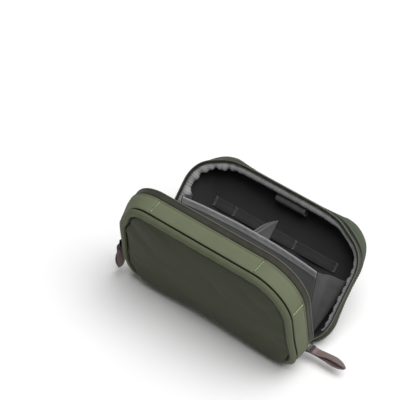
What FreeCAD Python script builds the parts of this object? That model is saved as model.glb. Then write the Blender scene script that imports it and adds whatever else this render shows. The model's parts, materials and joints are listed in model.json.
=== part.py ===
import FreeCAD, Part
import math
import os
import Sketcher

# Two-compartment cable organizer pouch, standing with its main compartment open.
#
# Two shallow halves share a spine along the bottom.  Each half is drawn upright in its
# own frame, with X along the pouch, Z up and the plane Y = 0 as the parting plane of the
# main zipper, and is then leaned about the spine: the front half a little forward, the
# rear half well back.  A distance called near or far is measured from the parting plane
# into the half.  The origin is the middle of the footprint, on the floor.

SIZES = [
    # overall
    ("length", 240),
    ("height", 144),
    ("top_radius", 49),
    ("bottom_radius", 40),
    ("front_lean", 9),
    ("rear_lean", 43),
    # cloth
    ("shell_cloth", 1.4),
    ("foam", 1.4),
    ("lining_cloth", 0.8),
    # main zipper
    ("parting_gap", 0.8),
    ("tape_inset", 0.6),
    ("tape_cloth", 1.2),
    ("tape_width", 9.4),
    ("coil", 1.6),
    ("spine_half", 78),
    ("spine_cloth", 1.6),
    ("spine_bead", 0.9),
    ("stop_length", 3),
    ("stop_angle", 22),
    # front half
    ("front_sag", 2),
    ("gusset_far", 31),
    ("seam_half", 70),
    ("seam_rise", 106.7),
    ("seam_gap", 0.1),
    # front cover
    ("cover_gap", 1.6),
    ("cover_depth", 6.2),
    ("rim_width", 7),
    ("rim_round", 5),
    ("face_cloth", 1.8),
    ("cover_tape_width", 5.4),
    ("cover_fold", 0.6),
    ("slip_pocket_half", 95),
    ("slip_pocket_low", 14),
    ("slip_pocket_high", 76),
    # organizer insert of the front compartment
    ("board_half", 92),
    ("board_low", 8),
    ("board_high", 122),
    ("board_radius", 30),
    ("board_near", 14),
    ("board_cloth", 1.8),
    ("tier_cloth", 1),
    ("upper_tier_half", 78),
    ("upper_tier_high", 96),
    ("lower_tier_high", 66),
    # rear half
    ("rear_depth", 31),
    ("back_round", 30.6),
    ("roll_near", 5),
    ("roll_far", 9.3),
    ("roll_width", 6.4),
    ("roll_low", 30),
    ("strap_half", 84),
    ("strap_rise", 89),
    ("strap_width", 12),
    ("strap_cloth", 1),
    ("pen_loop_centre", 9),
    ("pen_loop_half", 20),
    ("pen_loop_near", 14.5),
    ("pen_loop_rise", 129),
    ("pen_loop_radius", 5.4),
    ("pen_loop_bore", 4.4),
    # inner pocket of the main compartment
    ("wall_half", 92.5),
    ("wall_height", 86),
    ("wall_cloth", 1.6),
    ("wall_lean", 13),
    ("wall_base_near", 9),
    ("wall_base_rise", 9),
    ("hem_height", 8),
    ("hem_cloth", 2.8),
    ("panel_cloth", 1),
    ("panel_flare", 12),
    ("panel_rear_near", 16),
    ("panel_rear_rise", 80),
    ("divider_wall_x", -13),
    ("divider_back_x", -3),
    ("divider_low", 34),
    ("divider_high", 104),
    ("divider_gap", 1),
    # zipper sliders and pulls
    ("slider_length", 12),
    ("slider_width", 9),
    ("slider_rear_reach", 2.2),
    ("slider_plate", 1.2),
    ("slider_clear", 0.5),
    ("slider_post", 3),
    ("slider_post_back", 1),
    ("slider_coil_gap", 0.8),
    ("post_gap", 0.4),
    ("bail_length", 8),
    ("bail_width", 2),
    ("bail_bar", 1),
    ("bail_window", 2),
    ("main_slider_angle", 36),
    ("cover_slider_rise", 55),
    ("link_half", 6),
    ("link_length", 7),
    ("link_wire", 0.6),
    ("pull_length", 54),
    ("pull_width", 9),
    ("pull_cloth", 3.4),
    ("pull_tip_bore", 1),
    ("bartack_start", 13),
    ("bartack_length", 4),
    ("bartack_height", 0.4),
    ("bartack_margin", 1),
    ("cover_pull_splay", 12),
]

X_AXIS = FreeCAD.Vector(1, 0, 0)
Y_AXIS = FreeCAD.Vector(0, 1, 0)
FRONT = 1
REAR = -1
FAR_OUT = 200

doc = FreeCAD.newDocument("pouch")
sheet = doc.addObject("Spreadsheet::Sheet", "Sizes")
for row, (alias, number) in enumerate(SIZES, start=1):
    sheet.set(f"A{row}", alias)
    sheet.set(f"B{row}", str(number))
    sheet.setAlias(f"B{row}", alias)
doc.recompute()

size = dict(SIZES)
nodes = {}


def cells(formula):
    """The formula with every size name pointed at its cell in the sheet."""
    words = []
    for word in formula.split():
        words.append(f"Sizes.{word}" if word in size else word)
    return " ".join(words)


def worth(formula):
    """The number that a formula of sizes gives, in millimetres or degrees."""
    return float(sheet.evalExpression(cells(formula).replace("Sizes.", "")))


def bind(item, prop, formula):
    """Tie one property of an object to a formula of sizes."""
    item.setExpression(prop, cells(formula))


# ---------------------------------------------------------------- frames of the halves

def turned(degrees, axis, x=0, y=0, z=0):
    """A placement that turns about an axis through a point."""
    point = FreeCAD.Vector(x, y, z)
    return FreeCAD.Placement(FreeCAD.Vector(), FreeCAD.Rotation(axis, degrees), point)


def moved(x=0, y=0, z=0):
    return FreeCAD.Placement(FreeCAD.Vector(x, y, z), FreeCAD.Rotation())


front_frame = turned(size["front_lean"], X_AXIS)
rear_frame = turned(-size["rear_lean"], X_AXIS)


# ---------------------------------------------------------------- sketches and features

def new_sketch(body, near):
    """A sketch in the body's XZ plane, brought forward by near; its normal is -Y."""
    sketch = body.newObject("Sketcher::SketchObject", "Sketch")
    plane = [f for f in body.Origin.OriginFeatures if f.Role == "XZ_Plane"][0]
    sketch.AttachmentSupport = (plane, [""])
    sketch.MapMode = "FlatFace"
    bind(sketch, "AttachmentOffset.Base.z", near)
    return sketch


def dimension(sketch, kind, ends, name, formula):
    """One named driving dimension of a sketch, tied to the sheet."""
    index = sketch.addConstraint(Sketcher.Constraint(kind, *ends, worth(formula)))
    sketch.renameConstraint(index, name)
    bind(sketch, f"Constraints.{name}", formula)


def add_outline(sketch, name, half, low, high, low_radius, high_radius):
    """A rounded rectangle, symmetric about the Z axis."""
    right = worth(half)
    bottom = worth(low)
    top = worth(high)
    small = worth(low_radius)
    large = worth(high_radius)
    normal = FreeCAD.Vector(0, 0, 1)
    corners = [
        (right - small, bottom + small, small, -90),
        (right - large, top - large, large, 0),
        (large - right, top - large, large, 90),
        (small - right, bottom + small, small, 180),
    ]
    first = sketch.GeometryCount
    for number, (x, z, radius, start) in enumerate(corners):
        circle = Part.Circle(FreeCAD.Vector(x, z, 0), normal, radius)
        arc = Part.ArcOfCircle(circle, math.radians(start), math.radians(start + 90))
        last_x, last_z, last_radius, last_start = corners[number - 1]
        leave = math.radians(last_start + 90)
        begin = FreeCAD.Vector(
            last_x + last_radius * math.cos(leave), last_z + last_radius * math.sin(leave), 0)
        sketch.addGeometry(Part.LineSegment(begin, arc.StartPoint), False)
        sketch.addGeometry(arc, False)
    for number in range(4):
        line = first + 2 * number
        arc = line + 1
        after = first + (2 * number + 2) % 8
        sketch.addConstraint(Sketcher.Constraint("Tangent", line, 2, arc, 1))
        sketch.addConstraint(Sketcher.Constraint("Tangent", arc, 2, after, 1))
        level = "Horizontal" if number % 2 == 0 else "Vertical"
        sketch.addConstraint(Sketcher.Constraint(level, line))
    for number, side in enumerate(["low_right", "high_right", "high_left", "low_left"]):
        radius = low_radius if side.startswith("low") else high_radius
        dimension(sketch, "Radius", (first + 2 * number + 1,), f"{name}_{side}", radius)
    dimension(sketch, "DistanceX", (-1, 1, first + 2, 1), f"{name}_right", half)
    dimension(sketch, "DistanceX", (first + 6, 1, -1, 1), f"{name}_left", half)
    dimension(sketch, "DistanceY", (-1, 1, first + 4, 1), f"{name}_top", high)
    dimension(sketch, "DistanceY", (first, 1, first + 4, 1), f"{name}_rise", f"{high} - ( {low} )")


def add_half_outline(sketch, name, inset, sag):
    """The outline of a half, drawn in by inset and let down by sag."""
    add_outline(
        sketch, name,
        f"length / 2 - ( {inset} )",
        f"( {inset} ) - {sag}",
        f"height - ( {inset} )",
        f"bottom_radius - ( {inset} )",
        f"top_radius - ( {inset} )")


def add_rectangle(sketch, name, left, right, low, high):
    """A plain rectangle given by its four sides."""
    x0, x1, z0, z1 = worth(left), worth(right), worth(low), worth(high)
    points = [(x0, z0), (x1, z0), (x1, z1), (x0, z1)]
    first = sketch.GeometryCount
    for number, (x, z) in enumerate(points):
        next_x, next_z = points[(number + 1) % 4]
        line = Part.LineSegment(FreeCAD.Vector(x, z, 0), FreeCAD.Vector(next_x, next_z, 0))
        sketch.addGeometry(line, False)
    for number in range(4):
        line = first + number
        after = first + (number + 1) % 4
        sketch.addConstraint(Sketcher.Constraint("Coincident", line, 2, after, 1))
        level = "Horizontal" if number % 2 == 0 else "Vertical"
        sketch.addConstraint(Sketcher.Constraint(level, line))
    dimension(sketch, "DistanceX", (-1, 1, first, 1), f"{name}_left", left)
    dimension(sketch, "DistanceX", (-1, 1, first + 1, 1), f"{name}_right", right)
    dimension(sketch, "DistanceY", (-1, 1, first, 1), f"{name}_low", low)
    dimension(sketch, "DistanceY", (-1, 1, first + 2, 1), f"{name}_high", high)


def new_body(label, frame):
    body = doc.addObject("PartDesign::Body", label)
    body.Label = label
    body.Placement = frame
    return body


def pad(body, sketch, thickness):
    feature = body.newObject("PartDesign::Pad", "Pad")
    feature.Profile = sketch
    bind(feature, "Length", thickness)
    sketch.Visibility = False
    doc.recompute()
    return feature


def plane_of(side, near, far):
    """Where a layer's sketch lies, so that its pad runs from near to far."""
    return near if side == FRONT else f"0 - ( {far} )"


def layer(label, side, near, far, outer, inner=None, sag="0"):
    """A sheet or a band that follows the half's outline between two depths."""
    body = new_body(label, front_frame if side == FRONT else rear_frame)
    sketch = new_sketch(body, plane_of(side, near, far))
    add_half_outline(sketch, "outer", outer, sag)
    if inner is not None:
        add_half_outline(sketch, "inner", inner, sag)
    pad(body, sketch, f"{far} - ( {near} )")
    nodes[label] = body
    return body


def strip(label, frame, near, far, left, right, low, high):
    """A flat rectangular piece lying parallel to the parting plane."""
    body = new_body(label, frame)
    sketch = new_sketch(body, near)
    add_rectangle(sketch, "edge", left, right, low, high)
    pad(body, sketch, f"( {far} ) - ( {near} )")
    nodes[label] = body
    return body


def cut_away(body, left, right, low, high):
    """Remove everything inside a rectangle, through the whole depth of the body."""
    sketch = new_sketch(body, str(FAR_OUT))
    add_rectangle(sketch, "cut", left, right, low, high)
    feature = body.newObject("PartDesign::Pocket", "Pocket")
    feature.Profile = sketch
    feature.Length = 2 * FAR_OUT
    sketch.Visibility = False
    doc.recompute()


def far_face(shape, depth):
    """Index of the flat face that lies at one Y."""
    for index, face in enumerate(shape.Faces):
        box = face.BoundBox
        if abs(box.YMin - depth) < 1e-4 and abs(box.YMax - depth) < 1e-4:
            return index
    raise ValueError(f"no face at {depth}")


def round_outside(body, depth, radius):
    """Round the outer edges of the face at one depth."""
    base = body.Tip
    shape = base.Shape
    rim = shape.Faces[far_face(shape, depth)].OuterWire.Edges
    picked = []
    for index, edge in enumerate(shape.Edges, start=1):
        if any(edge.isSame(other) for other in rim):
            picked.append(f"Edge{index}")
    feature = body.newObject("PartDesign::Fillet", "Fillet")
    feature.Base = (base, picked)
    bind(feature, "Radius", radius)
    doc.recompute()


def hollow(body, cloth):
    """Leave only a skin, open at the parting plane."""
    base = body.Tip
    index = far_face(base.Shape, 0)
    feature = body.newObject("PartDesign::Thickness", "Thickness")
    feature.Base = (base, [f"Face{index + 1}"])
    feature.Reversed = True
    bind(feature, "Value", cloth)
    doc.recompute()


def tray(label, inset, cloth):
    """One layer of the deep rounded rear tray, cut back to where the zipper tape ends."""
    body = layer(label, REAR, "0", f"rear_depth - ( {inset} )", inset)
    depth = worth(f"rear_depth - ( {inset} )")
    round_outside(body, depth, f"back_round - ( {inset} )")
    hollow(body, cloth)
    sketch = new_sketch(body, "0")
    add_rectangle(sketch, "cut", f"0 - {FAR_OUT}", str(FAR_OUT), f"0 - {FAR_OUT}", str(FAR_OUT))
    feature = body.newObject("PartDesign::Pocket", "Pocket")
    feature.Profile = sketch
    bind(feature, "Length", "tape_width")
    sketch.Visibility = False
    doc.recompute()


def block(name, frame, left, right, near, far, low, high):
    """A box between two depths; near and far grow towards -Y."""
    box = doc.addObject("Part::Box", name)
    bind(box, "Length", f"( {right} ) - ( {left} )")
    bind(box, "Width", f"( {far} ) - ( {near} )")
    bind(box, "Height", f"( {high} ) - ( {low} )")
    box.Placement = frame * moved(worth(left), -worth(far), worth(low))
    return box


def rod(name, frame, radius, half, axis_turn):
    """A round bar centred on its frame's origin; axis_turn lays it along X or Y."""
    bar = doc.addObject("Part::Cylinder", name)
    bind(bar, "Radius", radius)
    bind(bar, "Height", f"2 * {half}")
    bar.Placement = frame * axis_turn * moved(z=-worth(half))
    return bar


ALONG_X = FreeCAD.Placement(FreeCAD.Vector(), FreeCAD.Rotation(Y_AXIS, 90))
ALONG_Y = FreeCAD.Placement(FreeCAD.Vector(), FreeCAD.Rotation(X_AXIS, 90))


def joined(label, pieces):
    """Several solids made into one piece, or kept side by side if they don't touch."""
    fuse = doc.addObject("Part::MultiFuse", label)
    fuse.Label = label
    fuse.Shapes = pieces
    nodes[label] = fuse
    return fuse


def minus(label, base, tool):
    cut = doc.addObject("Part::Cut", label)
    cut.Label = label
    cut.Base = base
    cut.Tool = tool
    nodes[label] = cut
    return cut


# ---------------------------------------------------------------- main zipper and spine

def make_zipper_side(name, side):
    """One tape of the main zipper with its coil, open along the spine."""
    tape = layer(f"{name}_tape", side, "parting_gap", "tape_width",
                 "tape_inset", "tape_inset + tape_cloth")
    cut_away(tape, "0 - spine_half", "spine_half", "0 - height", "bottom_radius / 2")
    inside = "tape_inset + tape_cloth"
    coil = layer(f"{name}_coil", side, "parting_gap", "parting_gap + coil",
                 inside, f"{inside} + coil")
    cut_away(coil, "0 - spine_half", "spine_half", "0 - height", "bottom_radius / 2")


def make_stops(name, side):
    """The two metal stops clipped on the ends of a tape, outside its lower corners."""
    frame = front_frame if side == FRONT else rear_frame
    near, far = "parting_gap", "parting_gap + coil"
    if side == REAR:
        near, far = "0 - parting_gap - coil", "0 - parting_gap"
    pieces = []
    for hand in (1, -1):
        corner = hand * worth("length / 2 - bottom_radius")
        centre = size["bottom_radius"]
        spot = frame * turned(-hand * size["stop_angle"], Y_AXIS, corner, 0, centre)
        half = "stop_length / 2"
        pieces.append(block(f"{name}_stop", spot * moved(x=corner), f"0 - {half}", half,
                            near, far, "tape_inset - spine_bead", "tape_inset"))
    joined(f"{name}_zip_stops", pieces)


def make_spine():
    """The strip of shell cloth that joins the halves, folded along a bead."""
    edge = "spine_bead + post_gap"
    strip("spine_front", front_frame, edge, "tape_width - seam_gap",
          "0 - spine_half", "spine_half", "0", "spine_cloth")
    strip("spine_rear", rear_frame, "0 - tape_width + seam_gap", f"0 - ( {edge} )",
          "0 - spine_half", "spine_half", "0", "spine_cloth")
    nodes["spine_fold"] = rod("spine_fold", front_frame, "spine_bead", "spine_half", ALONG_X)


# ---------------------------------------------------------------- front half

def gusset_band(label):
    return layer(label, FRONT, "tape_width", "gusset_far", "0", "shell_cloth", sag="front_sag")


def make_gusset():
    """The band around the front half: four cloth panels, foam and lining."""
    beyond = str(FAR_OUT)
    strip("gusset_top", front_frame, "tape_width", "gusset_far",
          "0 - seam_half", "seam_half", "height - shell_cloth", "height")
    corner = gusset_band("gusset_corner_right")
    cut_away(corner, f"0 - {beyond}", "seam_half + seam_gap", f"0 - {beyond}", beyond)
    cut_away(corner, "seam_half", beyond, f"0 - {beyond}", "seam_rise + seam_gap")
    corner = gusset_band("gusset_corner_left")
    cut_away(corner, "0 - seam_half - seam_gap", beyond, f"0 - {beyond}", beyond)
    cut_away(corner, f"0 - {beyond}", "0 - seam_half", f"0 - {beyond}", "seam_rise + seam_gap")
    base = gusset_band("gusset_base")
    cut_away(base, f"0 - {beyond}", beyond, "seam_rise", beyond)
    layer("gusset_foam", FRONT, "tape_width", "gusset_far",
          "shell_cloth", "shell_cloth + foam", sag="front_sag")
    layer("gusset_lining", FRONT, "tape_width", "gusset_far",
          "shell_cloth + foam", "shell_cloth + foam + lining_cloth", sag="front_sag")


def make_compartment_wall():
    """The lined wall between the front compartment and the main one."""
    layer("compartment_wall", FRONT, "tape_width", "tape_width + shell_cloth",
          "shell_cloth + foam + lining_cloth", sag="front_sag")


def make_organizer():
    """A stiffened board with two flat pocket tiers, held in the front compartment."""
    tiers = [
        ("organizer_board", "board_near", "board_cloth", "board_half", "board_high"),
        ("organizer_upper_tier", "board_near + board_cloth", "tier_cloth",
         "upper_tier_half", "upper_tier_high"),
        ("organizer_lower_tier", "board_near + board_cloth + tier_cloth", "tier_cloth",
         "board_half", "lower_tier_high"),
    ]
    for label, near, cloth, half, high in tiers:
        body = new_body(label, front_frame)
        sketch = new_sketch(body, near)
        add_outline(sketch, "edge", half, "board_low", high, "board_radius / 3", "board_radius")
        pad(body, sketch, cloth)
        nodes[label] = body


# ---------------------------------------------------------------- front cover

def make_cover():
    """The zip-open front: rolled rim, face panel, foam, lining and a slip pocket."""
    near = "gusset_far + cover_gap"
    middle = f"{near} + lining_cloth"
    far = f"{near} + cover_depth"
    rim = layer("cover_rim", FRONT, middle, far, "0", "rim_width", sag="front_sag")
    round_outside(rim, -worth(far), "rim_round")
    layer("cover_face", FRONT, f"{far} - face_cloth", far, "rim_width", sag="front_sag")
    layer("cover_foam", FRONT, middle, f"{far} - face_cloth", "rim_width", sag="front_sag")
    tape = "shell_cloth + foam + lining_cloth"
    layer("cover_zip_tape", FRONT, near, middle, "shell_cloth", f"{tape} + coil", sag="front_sag")
    layer("cover_lining", FRONT, near, middle, f"{tape} + coil + seam_gap", sag="front_sag")
    strip("cover_slip_pocket", front_frame, "gusset_far + post_gap", near,
          "0 - slip_pocket_half", "slip_pocket_half", "slip_pocket_low", "slip_pocket_high")
    layer("gusset_zip_tape", FRONT, "gusset_far - cover_tape_width", "gusset_far",
          tape, f"{tape} + tape_cloth", sag="front_sag")
    hinge = front_frame * moved(0, -worth("gusset_far + cover_gap / 2"),
                                -worth("front_sag - cover_fold"))
    nodes["cover_fold"] = rod("cover_fold", hinge, "cover_fold", "spine_half", ALONG_X)


# ---------------------------------------------------------------- rear half

def make_rear_tray():
    tray("rear_shell", "0", "shell_cloth")
    tray("rear_foam", "shell_cloth", "foam")
    tray("rear_lining", "shell_cloth + foam", "lining_cloth")


def make_lining_roll():
    """The gathered roll of lining along the inside of the rear zipper tape."""
    outer = "tape_inset + tape_cloth"
    roll = layer("rear_lining_roll", REAR, "roll_near", "roll_far", outer, f"{outer} + roll_width")
    cut_away(roll, f"0 - {FAR_OUT}", str(FAR_OUT), f"0 - {FAR_OUT}", "roll_low")


def make_strap():
    """The stitched elastic band across the back wall."""
    back = "rear_depth - shell_cloth - foam - lining_cloth"
    strip("elastic_strap", rear_frame, f"0 - ( {back} )", f"strap_cloth - ( {back} )",
          "0 - strap_half", "strap_half",
          "strap_rise - strap_width / 2", "strap_rise + strap_width / 2")


def make_pen_loop():
    """The sleeve for a pen under the top edge of the back wall."""
    spot = rear_frame * moved(size["pen_loop_centre"], size["pen_loop_near"], size["pen_loop_rise"])
    outside = rod("pen_loop_outside", spot, "pen_loop_radius", "pen_loop_half", ALONG_X)
    inside = rod("pen_loop_inside", spot, "pen_loop_bore", "( pen_loop_half + 1 )", ALONG_X)
    minus("pen_loop", outside, inside)


# ---------------------------------------------------------------- inner pocket

rear_wall_base = rear_frame * moved(0, size["wall_base_near"], size["wall_base_rise"])
wall_frame = FreeCAD.Placement(
    rear_wall_base.Base, FreeCAD.Rotation(X_AXIS, -size["wall_lean"]))


def make_inner_wall():
    """The cloth wall that stands in the open compartment, and its stitched hem."""
    strip("inner_wall", wall_frame, "0 - wall_cloth / 2", "wall_cloth / 2",
          "0 - wall_half", "wall_half", "0", "wall_height - hem_height")
    strip("wall_hem", wall_frame, "0 - hem_cloth / 2", "hem_cloth / 2",
          "0 - wall_half", "wall_half", "wall_height - hem_height", "wall_height")


def sheet_piece(label, corners, cloth):
    """A flat cloth panel between corners of two differently leaned pieces."""
    outline = Part.makePolygon(corners + corners[:1])
    face = Part.Face(outline)
    piece = doc.addObject("Part::Feature", label)
    piece.Label = label
    piece.Shape = face.extrude(face.normalAt(0, 0) * cloth)
    nodes[label] = piece


def in_rear(x, near, rise):
    return rear_frame.multVec(FreeCAD.Vector(x, near, rise))


def in_wall(x, near, rise):
    return wall_frame.multVec(FreeCAD.Vector(x, near, rise))


def make_side_panels():
    """The folding panels that join the wall's ends to the sides of the rear tray."""
    gap = size["panel_cloth"]
    half = size["wall_half"]
    for name, hand in (("left", -1), ("right", 1)):
        corners = [
            in_wall(hand * (half + gap), 0, size["wall_height"]),
            in_wall(hand * (half + gap), 0, gap),
            in_rear(hand * (half + size["panel_flare"]), size["panel_rear_near"],
                    size["panel_rear_rise"]),
        ]
        if hand < 0:
            corners.reverse()
        sheet_piece(f"side_panel_{name}", corners, gap)


def make_divider():
    """The upright divider between the wall and the back of the tray."""
    lead = size["hem_cloth"]
    back = worth("rear_depth - shell_cloth - foam - lining_cloth - strap_cloth - divider_gap")
    foot = size["divider_wall_x"]
    corners = [
        in_wall(foot, lead, size["wall_height"] - 2 * size["hem_height"]),
        in_wall(foot, lead, size["hem_height"]),
        in_rear(0, back, size["divider_low"]),
        in_rear(0, back, size["divider_high"]),
    ]
    start = corners[0].y
    slant = (size["divider_back_x"] - foot) / (corners[3].y - start)
    for corner in corners:
        corner.x = foot + slant * (corner.y - start)
    sheet_piece("divider", corners, size["panel_cloth"])


# ---------------------------------------------------------------- sliders and pulls

def slider_pieces(name, frame, skin, deep, outer_near, inner_near, inner_far):
    """Plates, post and bail of a slider drawn at the bottom of the outline, going +X.

    skin is how far the cloth's outer face is inset, deep is where the inner plate starts.
    The plates' near and far sides differ where the tape on one side has to swing clear.
    """
    long = "slider_length / 2"
    wide = "slider_width / 2"
    outer = f"{skin} - slider_clear"
    bail = "bail_length / 2"
    slim = "bail_width / 2"
    top = f"{outer} - slider_plate"
    bridge = f"{top} - bail_window"
    return [
        block(f"{name}_outer_plate", frame, f"0 - {long}", long, outer_near, wide, top, outer),
        block(f"{name}_inner_plate", frame, f"0 - {long}", long, inner_near, inner_far,
              deep, f"{deep} + slider_plate"),
        block(f"{name}_post", frame, f"{long} - slider_post_back - slider_post",
              f"{long} - slider_post_back",
              "0 - post_gap", "post_gap", outer, deep),
        block(f"{name}_bail_back", frame, f"0 - {bail}", f"bail_bar - {bail}",
              f"0 - {slim}", slim, bridge, top),
        block(f"{name}_bail_front", frame, f"{bail} - bail_bar", bail,
              f"0 - {slim}", slim, bridge, top),
        block(f"{name}_bail_bridge", frame, f"0 - {bail}", bail, f"0 - {slim}", slim,
              f"{bridge} - bail_bar", bridge),
    ]


def make_pull(name, frame):
    """A wire link in the bail, and a folded webbing tab sewn round it, going +X."""
    near_bar = rod(f"{name}_near_bar", frame, "link_wire", "link_half", ALONG_Y)
    far_bar = rod(f"{name}_far_bar", frame * moved(x=size["link_length"]),
                  "link_wire", "link_half", ALONG_Y)
    arms = []
    for hand in (1, -1):
        arm = doc.addObject("Part::Cylinder", f"{name}_arm")
        bind(arm, "Radius", "link_wire")
        bind(arm, "Height", "link_length")
        arm.Placement = frame * moved(y=hand * size["link_half"]) * ALONG_X
        arms.append(arm)
    joined(f"{name}_link", [near_bar, far_bar] + arms)

    wide = "pull_width / 2"
    thick = "pull_cloth / 2"
    start = "link_length - pull_cloth / 2"
    tab = block(f"{name}_tab", frame, start, "pull_length", f"0 - {wide}", wide,
                f"0 - {thick}", thick)
    bores = []
    for spot, radius in ((size["link_length"], "link_wire + seam_gap"),
                         (worth("pull_length - 2 * pull_tip_bore"), "pull_tip_bore")):
        bores.append(rod(f"{name}_bore", frame * moved(x=spot), radius, "link_half", ALONG_Y))
    both = doc.addObject("Part::MultiFuse", f"{name}_bores")
    both.Shapes = bores
    minus(f"{name}_webbing", tab, both)

    tacks = []
    for low, high in ((thick, f"{thick} + bartack_height"),
                      (f"0 - {thick} - bartack_height", f"0 - {thick}")):
        tacks.append(block(f"{name}_tack", frame, "bartack_start", "bartack_start + bartack_length",
                           f"bartack_margin - {wide}", f"{wide} - bartack_margin", low, high))
    joined(f"{name}_bartack", tacks)


# The pull turns about this height above the slider's outer face of cloth.
pivot_rise = worth("slider_clear + slider_plate + bail_window / 2")

corner_x = worth("length / 2 - bottom_radius")
main_slider_frame = (
    front_frame
    * turned(-size["main_slider_angle"], Y_AXIS, corner_x, 0, size["bottom_radius"])
    * moved(x=corner_x))
main_pivot = main_slider_frame.multVec(FreeCAD.Vector(0, 0, size["tape_inset"] - pivot_rise))
main_pull_frame = FreeCAD.Placement(main_pivot, front_frame.Rotation)

cover_slider_frame = (
    front_frame
    * moved(-worth("length / 2"), -worth("gusset_far + cover_gap / 2"), size["cover_slider_rise"])
    * turned(90, Y_AXIS))
cover_pivot = cover_slider_frame.multVec(FreeCAD.Vector(0, 0, -pivot_rise))
cover_pull_frame = FreeCAD.Placement(
    cover_pivot,
    front_frame.Rotation * FreeCAD.Rotation(Y_AXIS, 90 + size["cover_pull_splay"]))


def make_main_slider():
    deep = "tape_inset + tape_cloth + coil + slider_coil_gap"
    joined("main_slider", slider_pieces(
        "main_slider", main_slider_frame, "tape_inset", deep,
        "0 - slider_rear_reach", "0 - slider_width / 2", "slider_width / 2"))
    make_pull("main_pull", main_pull_frame)


def make_cover_slider():
    deep = "shell_cloth + foam + lining_cloth + tape_cloth + slider_clear"
    joined("cover_slider", slider_pieces(
        "cover_slider", cover_slider_frame, "0", deep,
        "0 - slider_width / 2", "0 - slider_width / 2", "post_gap"))
    make_pull("cover_pull", cover_pull_frame)


# ---------------------------------------------------------------- assembly

def stand_on_floor():
    """Shift everything so that the origin is the bottom centre of the footprint."""
    box = FreeCAD.BoundBox()
    for item in nodes.values():
        box.add(item.Shape.optimalBoundingBox(False))
    shift = FreeCAD.Vector(-box.Center.x, -box.Center.y, -box.ZMin)
    lift = FreeCAD.Placement(shift, FreeCAD.Rotation())
    for item in doc.Objects:
        if item.isDerivedFrom("PartDesign::Body") or item.TypeId in (
                "Part::Box", "Part::Cylinder", "Part::Feature"):
            item.Placement = lift * item.Placement
    doc.recompute()
    return shift


def check_all():
    for item in doc.Objects:
        if {"Invalid", "Error"} & set(item.State):
            raise RuntimeError(f"{item.Label} is {item.State}")
    for label, item in nodes.items():
        if item.Shape.isNull() or not item.Shape.isValid():
            raise RuntimeError(f"{label} has no valid shape")


make_zipper_side("front", FRONT)
make_zipper_side("rear", REAR)
make_stops("front", FRONT)
make_stops("rear", REAR)
make_spine()
make_gusset()
make_compartment_wall()
make_organizer()
make_cover()
make_rear_tray()
make_lining_roll()
make_strap()
make_pen_loop()
make_inner_wall()
make_side_panels()
make_divider()
make_main_slider()
make_cover_slider()
doc.recompute()
shift = stand_on_floor()
check_all()

os.makedirs("parts", exist_ok=True)
for label, item in nodes.items():
    item.Shape.exportStep(f"parts/{label}.step")
print(f"{len(nodes)} pieces, spine at {shift}")
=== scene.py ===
"""Looks of a two-compartment cable organizer pouch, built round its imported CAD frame.

Each half has its own frame: x along the pouch, d outward from the parting plane of the main
zipper, and z up from the spine.  A point of a half is found from s, the way round the half's
rounded outline, from inset, how far inside that outline it lies, and from d.
"""

import json
import math

import bmesh
import bpy
import numpy as np
from mathutils import Matrix, Vector


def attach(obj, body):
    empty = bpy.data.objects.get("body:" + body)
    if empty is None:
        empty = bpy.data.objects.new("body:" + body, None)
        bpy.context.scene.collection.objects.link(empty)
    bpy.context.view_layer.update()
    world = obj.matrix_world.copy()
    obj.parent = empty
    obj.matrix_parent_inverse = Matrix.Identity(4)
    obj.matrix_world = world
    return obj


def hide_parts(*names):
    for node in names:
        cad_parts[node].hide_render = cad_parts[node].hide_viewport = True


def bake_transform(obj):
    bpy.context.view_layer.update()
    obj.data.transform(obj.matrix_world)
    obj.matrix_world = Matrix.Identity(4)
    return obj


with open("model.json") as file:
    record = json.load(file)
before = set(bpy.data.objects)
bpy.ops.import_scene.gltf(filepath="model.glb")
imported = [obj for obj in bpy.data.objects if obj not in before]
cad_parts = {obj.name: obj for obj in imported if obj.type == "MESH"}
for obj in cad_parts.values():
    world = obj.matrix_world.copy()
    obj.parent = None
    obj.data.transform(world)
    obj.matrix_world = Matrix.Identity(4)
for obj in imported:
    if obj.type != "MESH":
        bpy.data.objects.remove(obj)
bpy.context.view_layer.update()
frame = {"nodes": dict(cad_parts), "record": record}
record = frame["record"]
joints = {joint["name"]: joint for joint in record["behaviour"]["joints"]}

MM = 0.001

# ------------------------------------------------------------------ sizes, in metres

LENGTH, HEIGHT = 240 * MM, 144 * MM
TOP_RADIUS, LOW_RADIUS = 49 * MM, 40 * MM
FRONT_LEAN, REAR_LEAN, WALL_LEAN = math.radians(9), math.radians(43), math.radians(13)
COVER_END = 38.8 * MM
SAG = 2 * MM  # the front half's bottom hangs this much below the spine
SHELL = 1.4 * MM
REAR_DEPTH = 31 * MM
BACK_ROUND = 30.6 * MM
SPINE_HALF = 78 * MM
SEAM_HALF, SEAM_RISE = 70 * MM, 106.7 * MM
WALL_HALF, WALL_HEIGHT, HEM_HEIGHT = 92.5 * MM, 86 * MM, 8 * MM

SPINE = Vector(joints["main_hinge"]["pos_m"])
WALL_BASE = Vector(joints["pocket_wall_fold"]["pos_m"])
MAIN_PIVOT = Vector(joints["main_pull_swing"]["pos_m"])
COVER_PIVOT = Vector(joints["cover_pull_swing"]["pos_m"])
PAIR = {"front": ("front_half", -1), "rear": ("rear_half", 1)}

front_matrix = Matrix.Translation(SPINE) @ Matrix.Rotation(FRONT_LEAN, 4, "X")
rear_matrix = Matrix.Translation(SPINE) @ Matrix.Rotation(-REAR_LEAN, 4, "X")
wall_matrix = (Matrix.Translation(Vector((SPINE.x, WALL_BASE.y, WALL_BASE.z)))
               @ Matrix.Rotation(-WALL_LEAN, 4, "X"))
SIDE = {"front": (front_matrix, -1), "rear": (rear_matrix, 1)}


# ------------------------------------------------------------------ outline of a half

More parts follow.
